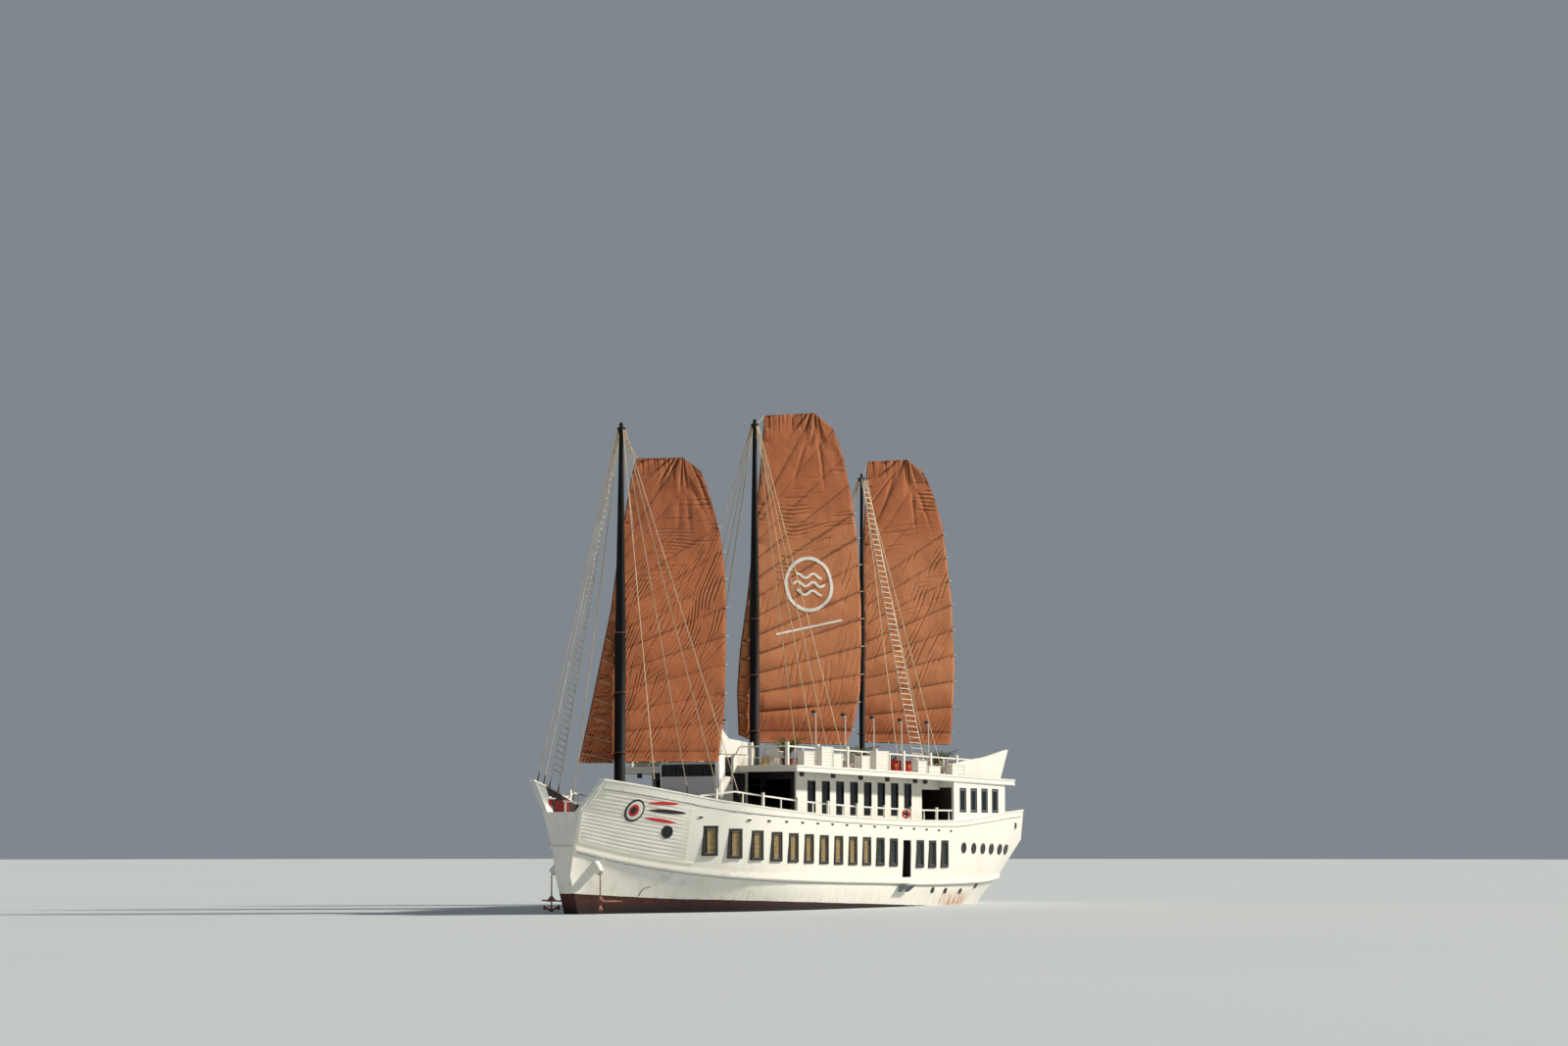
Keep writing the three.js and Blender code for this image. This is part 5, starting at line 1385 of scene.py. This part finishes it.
    def world(self, a, y, z):
        """From the sail's own frame to the ship's."""
        return turned(np.stack([a, y, z], -1), SAIL_TURN) + np.array([self.x, 0, 0])

    def surface(self, u, t, belly, lift=0.0):
        """The cloth in the ship's frame, moved out by its depth, which is less beside the mast low down,
        where the mast needs room. Keeps the creases and a line that fades above each seam, both as painted
        shade."""
        flat = self.flat(u, t)
        a, z = flat[..., 0], flat[..., 1]
        tight = ramp(1 - (np.abs(a) - 0.1) / 0.6) * ramp((12.5 - z) / 3)
        depth = self.depth(a, z, u, belly) * (1 - 0.85 * tight)
        place, above = self.panels(a, z)
        yard = len(self.seams) - 1
        (low, pale), (high, dark) = self.THREAD
        seam_shade = np.interp(place, [low, high, yard - 0.01, yard], [pale, dark, dark, self.YARD_THREAD])
        seam_shade = seam_shade * np.exp(-above / np.where(place > yard, self.WIDE, self.NARROW))
        self.crease = ramp(self.creases(depth) + seam_shade)
        return self.world(a, CLOTH_OFFSET - depth - lift, z)

    def share(self, a, z):
        """Row and share of a point on the flat sail, read back from the battens' lines."""
        t = (z - self.foot - BATTENS["lift"] * a / BATTENS["leech"]) / self.fan(a)
        luff, leech = self.ends(t)
        return (a - luff[..., 0]) / (leech[..., 0] - luff[..., 0]), t

    def ribbon(self, shape, line, width, belly):
        """A painted band on the cloth: rows square to its line, over the cloth and just behind it."""
        line = np.asarray(line, float)
        along = unit(np.gradient(line, axis=0))
        across = np.stack([-along[:, 1], along[:, 0]], -1)
        offsets = np.array([-0.5, -0.25, 0, 0.25, 0.5, 0.5, -0.5])
        lifts = np.array([0.022] * 5 + [-0.006] * 2)
        points = line[:, None] + across[:, None] * (offsets * width)[None, :, None]
        u, t = self.share(points[..., 0], points[..., 1])
        shape.grid(self.surface(u, t, belly, lifts), wrap=True, caps=True)


class JUNK_OT_sails(bpy.types.Operator):
    """The three rust-brown sails as sheets of cloth that follow their battens"""
    bl_idname = "junk.sails"
    bl_label = "Sails"

    def execute(self, context):
        look = context.scene.junk_sails
        for name in SAILS:
            sail = Sail(name)
            u, t = np.meshgrid(np.linspace(0, 1, look.across), sail.rows(look.up))
            points = sail.surface(u, t, look.belly)
            flat = sail.flat(u, t)
            shape = Shape().grid(points, spread=flat)
            cloth = shape.build(f"{name}_sail_cloth", f"{name}_rig", "sail_cloth", "sail_cloth", 180,
                                closed=False, mapped=True)
            # Painted shade of the creases and seams, kept on each point for the cloth's finish
            crease = cloth.data.attributes.new("crease", "FLOAT", "POINT")
            crease.data.foreach_set("value", sail.crease.ravel())
            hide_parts(f"{name}_sail")
            low, high = flat.reshape(-1, 2).min(0), flat.reshape(-1, 2).max(0)
            size = (float(high[0] - low[0]), float(high[1] - low[1]))
            dress(f"{name}_battens", "batten_wood")
            self.lashings(sail)
        self.mark(Sail("main"), look.belly)
        return {"FINISHED"}

    @staticmethod
    def lashings(sail):
        """Light lines from the luff's batten ends down to the mast, ties at the leech, the foot rope and the
        halyards to the yard."""
        ropes = Shape()
        luff, leech = sail.ends(np.arange(BATTENS["count"], dtype=float))
        at = lambda a, y, z: sail.world(*np.broadcast_arrays(np.asarray(a, float), y, z))
        ahead = luff[luff[:, 0] < -0.35]
        if len(ahead):
            starts = at(ahead[:, 0], 0.31, ahead[:, 1])
            ropes.bars(starts, at(ahead[:, 0] * 0 - 0.1, 0.3, ahead[:, 1] - 0.32), 0.014)
        a, z = leech.T
        ropes.bars(at(a - 0.05, 0.33, z), at(a + 0.17, 0.33, z + 0.04), 0.022)
        a, z = np.linspace(sail.luff[0], sail.leech[0], 24).T
        foot = at(a, 0.345, z)
        ropes.bars(foot[:-1], foot[1:], 0.03)
        top = MASTS[sail.name][1] - 0.35
        head = np.array([sail.luff[-1], sail.heel + 0.2 * (sail.leech[-1] - sail.heel)])
        ropes.bars(at([0.05, 0.05], 0.13, [top, top]), at(head[:, 0], [0.4, 0.16], head[:, 1]), 0.018)
        ropes.build(f"{sail.name}_lashings", f"{sail.name}_rig", "stay_rope", "stay_rope", 60)

    @staticmethod
    def mark(sail, belly):
        """Plain white mark: a ring round three even waves, with a bar below."""
        mark, centre, radius = Shape(), np.array([3.25, 16.0]), 1.3
        turn = np.linspace(0, 2 * np.pi, 81)
        sail.ribbon(mark, centre + radius * np.stack([np.cos(turn), np.sin(turn)], -1), 0.17, belly)
        s = np.linspace(-1, 1, 40)
        for rise, half in ((0.42, 0.72), (0.0, 0.92), (-0.42, 0.72)):
            wave = np.stack([half * s, rise + 0.11 * np.sin(s * half * 7)], -1)
            sail.ribbon(mark, centre + wave, 0.12, belly)
        sail.ribbon(mark, np.stack([centre[0] + 1.9 * s, 13.85 + 0.42 * s], -1), 0.1, belly)
        mark.build("main_sail_mark", "main_rig", "sail_cloth", "white_cloth", 60)


class JUNK_OT_rigging(bpy.types.Operator):
    """Masts, stays, ladders and their fittings"""
    bl_idname = "junk.rigging"
    bl_label = "Masts and rigging"
    ROPE, SCREW, RUNG = 0.023, 0.034, 0.29
    SPREAD, OUT, DROP = 0.16, 0.14, 0.3      # of the stays' heads: along the ship, aside, and below the top
    HEAD = 0.3                               # how far a ladder's ropes stand from the mast at the top

    def execute(self, context):
        for name in SAILS:
            fair_copy(f"{name}_mast", "mast_paint", 40)
        for (name, side), feet in STAYS.items():
            word = "port" if side > 0 else "stbd"
            rope = Shape()
            ladder = LADDERS.get((name, side), ())
            places = sorted({*feet, *ladder}, reverse=True)
            starts = np.array([self.foot(name, x, side) for x in places])
            mast_x, top = MASTS[name]
            aside, high = side * self.OUT, top - self.DROP
            heads = np.array([(mast_x + (0.5 - i / (len(places) - 1)) * self.SPREAD, aside, high)
                              for i in range(len(places))])
            if ladder and name == "mizzen":
                # Its two ropes stay apart up to a short bar across the mast
                for x, k in zip(ladder, (1, -1)):
                    heads[places.index(x), 0] = mast_x + k * self.HEAD
                middle, half = np.array([[mast_x, aside, high]]), [0.36, 0, 0]
                rope.bars(middle - half, middle + half, 0.03, finish=1)
            along = unit(heads - starts)
            rope.bars(starts + along * 0.3, heads, self.ROPE)
            rope.bars(starts, starts + along * 0.42, self.SCREW, finish=1, taper=0.7)
            rope.bars(starts - [0, 0, 0.02], starts + [0, 0, 0.05], 0.055, sides=8, finish=1)
            rope.bars(heads - [0, 0, 0.05], heads + [0, 0, 0.07], 0.035, finish=1)
            band = [(0.12, -0.1), (0.15, -0.09), (0.15, 0.02), (0.12, 0.03)]
            rope.lathe(band, (mast_x, 0, top - 0.33), finish=1)
            if ladder:
                self.rungs(rope, *[(starts[places.index(x)], heads[places.index(x)]) for x in ladder])
            coats = ["stay_rope", "dark_iron", "rope_white"]
            piece = rope.build(f"{name}_{word}_shrouds", "root", "stay_rope", coats, 60)
            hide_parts(f"{name}_{word}_stays")
        return {"FINISHED"}

    @staticmethod
    def foot(name, x, side):
        """Where a stay meets the cap rail or the roof."""
        if name == "fore":
            half, height = float(curve(CAP_Y, x)), float(curve(CAP_Z, x))
            return x, side * (half - STAY_FOOT["cap_inset"]), height + STAY_FOOT["rail"]
        return x, side * STAY_FOOT["roof_y"], float(roof_top(x))

    def rungs(self, shape, left, right):
        """Rungs at even heights between two ropes, as far as the ropes stand apart."""
        share = np.arange(0.05, 0.97, self.RUNG / np.linalg.norm(np.subtract(left[1], left[0])))[:, None]
        a, b = (np.asarray(rope[0]) + share * np.subtract(rope[1], rope[0]) for rope in (left, right))
        shape.bars(a, b, 0.022, sides=5, finish=2)
        shape.bars([left[0], right[0]], [left[1], right[1]], 0.027, finish=2)


class JUNK_OT_deck(bpy.types.Operator):
    """Sun deck: louvred air units, lamps, tables and chairs, planters, and the eaves' trim and lamps"""
    bl_idname = "junk.deck"
    bl_label = "Sun deck"
    FACES = (4.6, 4.94)                # inner and outer faces of the air units
    POLES = [6.25 - 2.86 * i for i in range(1, 6)]
    TABLES = ((4.4, 2.6), (4.4, -2.6), (0.2, 2.7), (-0.2, -2.7), (-3.4, 2.4), (-3.4, -2.4), (-6.3, -2.5),
              (-11.0, 2.5), (-11.0, -2.5), (-12.9, 2.6), (-12.9, -2.6))
    PLANTS = ((3.04, 2.5), (-7.45, 0.5), (-14.3, 1.6), (-14.3, -1.6), (3.04, -2.5))
    LOCKERS = ((-5.09, 3.75), (-6.42, 3.75))
    EAVE_LAMPS = (5.22, 2.23, -0.48, -3.18, -6.07, -7.15)
    POLE_SIDE, POLE_HIGH = 4.31, 2.6
    LIPS = ((-0.03, 0.05, 0.025), (0.2, 0.275, 0.035))   # foot, head and reach of the roof's lips

    def execute(self, context):
        self.units()
        self.lamps()
        self.furniture()
        self.planters()
        self.eaves()
        return {"FINISHED"}

    def units(self):
        """Slats at even heights over each unit's outer and bow faces, in a raised frame."""
        shape = Shape()
        for side in (1, -1):
            for x, wide, high in UNITS:
                low, top = float(roof_top(x + wide / 2)) + 0.06, float(roof_top(x)) + high
                inner, outer = self.FACES
                count = int((top - low - 0.12) / 0.11)
                z = np.linspace(low + 0.08, top - 0.08, count)
                ones = np.ones(count)
                face = np.stack([ones * x, ones * side * (outer + 0.008), z], -1)
                shape.boxes(face, (wide - 0.14, 0.03, 0.055))
                bow = np.stack([ones * (x + wide / 2 + 0.008), ones * side * (inner + outer) / 2, z], -1)
                shape.boxes(bow, (0.03, outer - inner - 0.1, 0.055))
                middle = (low + top) / 2
                for k in (-1, 1):
                    shape.boxes([(x + k * (wide / 2 - 0.03), side * (outer + 0.01), middle)],
                                (0.06, 0.036, top - low))
                shape.boxes([(x, side * (inner + outer) / 2, top + 0.012)],
                            (wide + 0.04, outer - inner + 0.05, 0.03))
        shape.build("unit_louvres", "root", "white_paint", ["white_paint", "grey_paint"])

    def lamps(self):
        """Lanterns on arms that lean from the poles' tops towards the bow."""
        shape = Shape()
        lantern = [(0.02, 0.15), (0.13, 0.08), (0.13, 0.06), (0.09, 0.04), (0.08, -0.1), (0.05, -0.13)]
        for side in (1, -1):
            for x in self.POLES:
                top, y = float(roof_top(x)) + self.POLE_HIGH, side * self.POLE_SIDE
                shape.bars([(x, y, top - 0.06)], [(x + 0.24, y, top + 0.06)], 0.02)
                shape.lathe(lantern, (x + 0.24, y, top), steps=12)
                shape.lathe([(0.083, 0.035), (0.085, -0.09)], (x + 0.24, y, top), finish=1, steps=12)
            for x in self.EAVE_LAMPS:
                under = float(roof_top(x)) - EAVE
                shape.boxes([(x, side * 4.6, under - 0.11)], (0.2, 0.16, 0.22))
                shape.boxes([(x, side * 4.6, under - 0.23)], (0.16, 0.12, 0.03), finish=1)
        shape.build("deck_lamps", "root", "black_paint", ["dark_iron", "lamp_glass"])

    def furniture(self):
        """Round tables on one leg with chairs of plain slabs and bars; red lockers, the helm and a stand."""
        shape, wide = Shape(), 0.42
        table = [(0.28, 0.0), (0.28, 0.03), (0.05, 0.06), (0.05, 0.68),
                 (0.42, 0.7), (0.44, 0.73), (0.42, 0.75)]
        legs = np.array([(i * 0.17, j * 0.17, 0) for i in (-1, 1) for j in (-1, 1)])
        for x, y in self.TABLES:
            z = float(roof_top(x))
            shape.lathe(table, (x, y, z), steps=20)
            for a in np.arange(4) * np.pi / 2 + 0.5:
                away = np.array([math.cos(a), math.sin(a), 0])
                seat = np.array([x, y, z + 0.44]) + 0.78 * away
                shape.boxes([seat], (wide, wide, 0.04), a)
                shape.boxes([seat + 0.2 * away + [0, 0, 0.24]], (0.035, wide, wide), a)
                tops = turned(legs, a) + seat
                shape.bars(tops - [0, 0, 0.43], tops, 0.018, 5)
        for x, y in self.LOCKERS:
            z = float(roof_top(x))
            shape.boxes([(x, y, z + 0.3)], (0.62, 0.55, 0.6), finish=1)
            shape.boxes([(x, y, z + 0.63)], (0.68, 0.6, 0.06), finish=1)
            shape.boxes([(x, y + 0.28, z + 0.36)], (0.3, 0.02, 0.12), finish=3)
        hub, spokes = np.array([7.12, 0.35, 8.1]), np.arange(6) * np.pi / 3
        shape.boxes([hub + [0.23, 0, -0.25]], (0.35, 0.8, 0.7))
        shape.wheel(hub, (1, 0, 0.2), 0.3, 0.022, finish=2)
        tips = hub + 0.36 * np.stack([0 * spokes, np.cos(spokes), np.sin(spokes)], -1)
        shape.bars(hub, tips, 0.014, finish=2)
        shape.lathe([(0.16, 0.0), (0.16, 0.04), (0.07, 0.08), (0.07, 0.34), (0.1, 0.36)],
                    (5.9, 2.9, float(roof_top(5.9))), finish=3, steps=16)
        chairs = shape.build("deck_furniture", "root", "white_paint",
                             ["white_paint", "bright_red", "batten_wood", "yellow_paint"])
        bevel = chairs.modifiers.new("edges", "BEVEL")
        bevel.width, bevel.segments = 0.008, 1
        bevel.limit_method, bevel.angle_limit = "ANGLE", math.radians(60)

    def planters(self):
        """Pots with sheaves of leaves that lean out and droop: three bars a leaf, narrowing to the tip."""
        shape, draw, count = Shape(), np.random.default_rng(5), 90
        pot = [(0.2, 0.0), (0.28, 0.4), (0.31, 0.42), (0.31, 0.47), (0.26, 0.47), (0.24, 0.42)]
        for x, y in self.PLANTS:
            z = float(roof_top(x))
            shape.lathe(pot, (x, y, z), steps=20)
            turn, lean, long = (draw.uniform(*span, count)
                                for span in ((0, 2 * np.pi), (0.1, 0.8), (0.6, 1.15)))
            away = np.stack([np.cos(turn), np.sin(turn), 0 * turn], -1)
            at = np.array([x, y, z + 0.42]) + away * 0.08
            for rise, spread, thick in ((0.5, 0.25, 0.026), (0.38, 0.5, 0.022), (0.1, 0.6, 0.014)):
                step = np.array([0, 0, 1.0]) * (rise * long)[:, None] + away * (spread * lean * long)[:, None]
                shape.bars(at, at + step, thick, 4, finish=1, taper=0.6)
                at = at + step
        shape.build("planters", "root", "grey_paint", ["red_paint", "leaf_green"])

    def eaves(self):
        """Two lips along the roof's sides and fore end, and a white header over each side passage."""
        shape = Shape()
        x, half = np.array([(6.36, 4.99), (-9.5, 4.99), (-17.02, 4.7)]).T
        for side in (1, -1):
            for low, high, out in self.LIPS:
                ring = np.array([(INTO, low), (out, low), (out, high), (INTO, high)])
                y = side * (half[:, None] + ring[:, 0])
                z = (roof_top(x) - EAVE)[:, None] + ring[:, 1]
                shape.grid(np.stack([np.broadcast_to(x[:, None], y.shape), y, z], -1), wrap=True, caps=True)
        for low, high, out in self.LIPS:
            z, thick = float(roof_top(6.34)) - EAVE + (low + high) / 2, out - 0.005
            shape.boxes([(6.345 + thick / 2, side * 3.36, z) for side in (1, -1)],
                        (thick + 0.02, 3.28, high - low))
        under = float(roof_top(-8.65)) - EAVE
        shape.boxes([(-8.65, side * 4.1, under - 0.24) for side in (1, -1)], (1.86, 0.05, 0.48))
        shape.build("roof_lips", "root", "white_paint", "white_paint")


class JUNK_PT_panel(bpy.types.Panel):
    """Lists the junk's pieces in the sidebar"""
    bl_label = "Junk"
    bl_idname = "JUNK_PT_panel"
    bl_space_type = "VIEW_3D"
    bl_region_type = "UI"
    bl_category = "Junk"

    def draw(self, context):
        for operator in OPERATORS:
            self.layout.operator(operator.bl_idname)


OPERATORS = (JUNK_OT_stage, JUNK_OT_hull, JUNK_OT_bow, JUNK_OT_side, JUNK_OT_windows, JUNK_OT_houses,
             JUNK_OT_sails, JUNK_OT_rigging, JUNK_OT_deck)
GROUPS = {"junk_stage": JunkStage, "junk_hull": JunkHull, "junk_sails": JunkSails}


def register():
    for group in (*GROUPS.values(), *OPERATORS, JUNK_PT_panel):
        bpy.utils.register_class(group)
    for name, group in GROUPS.items():
        setattr(bpy.types.Scene, name, PointerProperty(type=group))


def unregister():
    for name in GROUPS:
        delattr(bpy.types.Scene, name)
    for group in (JUNK_PT_panel, *OPERATORS[::-1], *GROUPS.values()):
        bpy.utils.unregister_class(group)


def main():
    register()
    for operator in OPERATORS:
        group, name = operator.bl_idname.split(".")
        getattr(getattr(bpy.ops, group), name)()


if __name__ == "__main__":
    main()
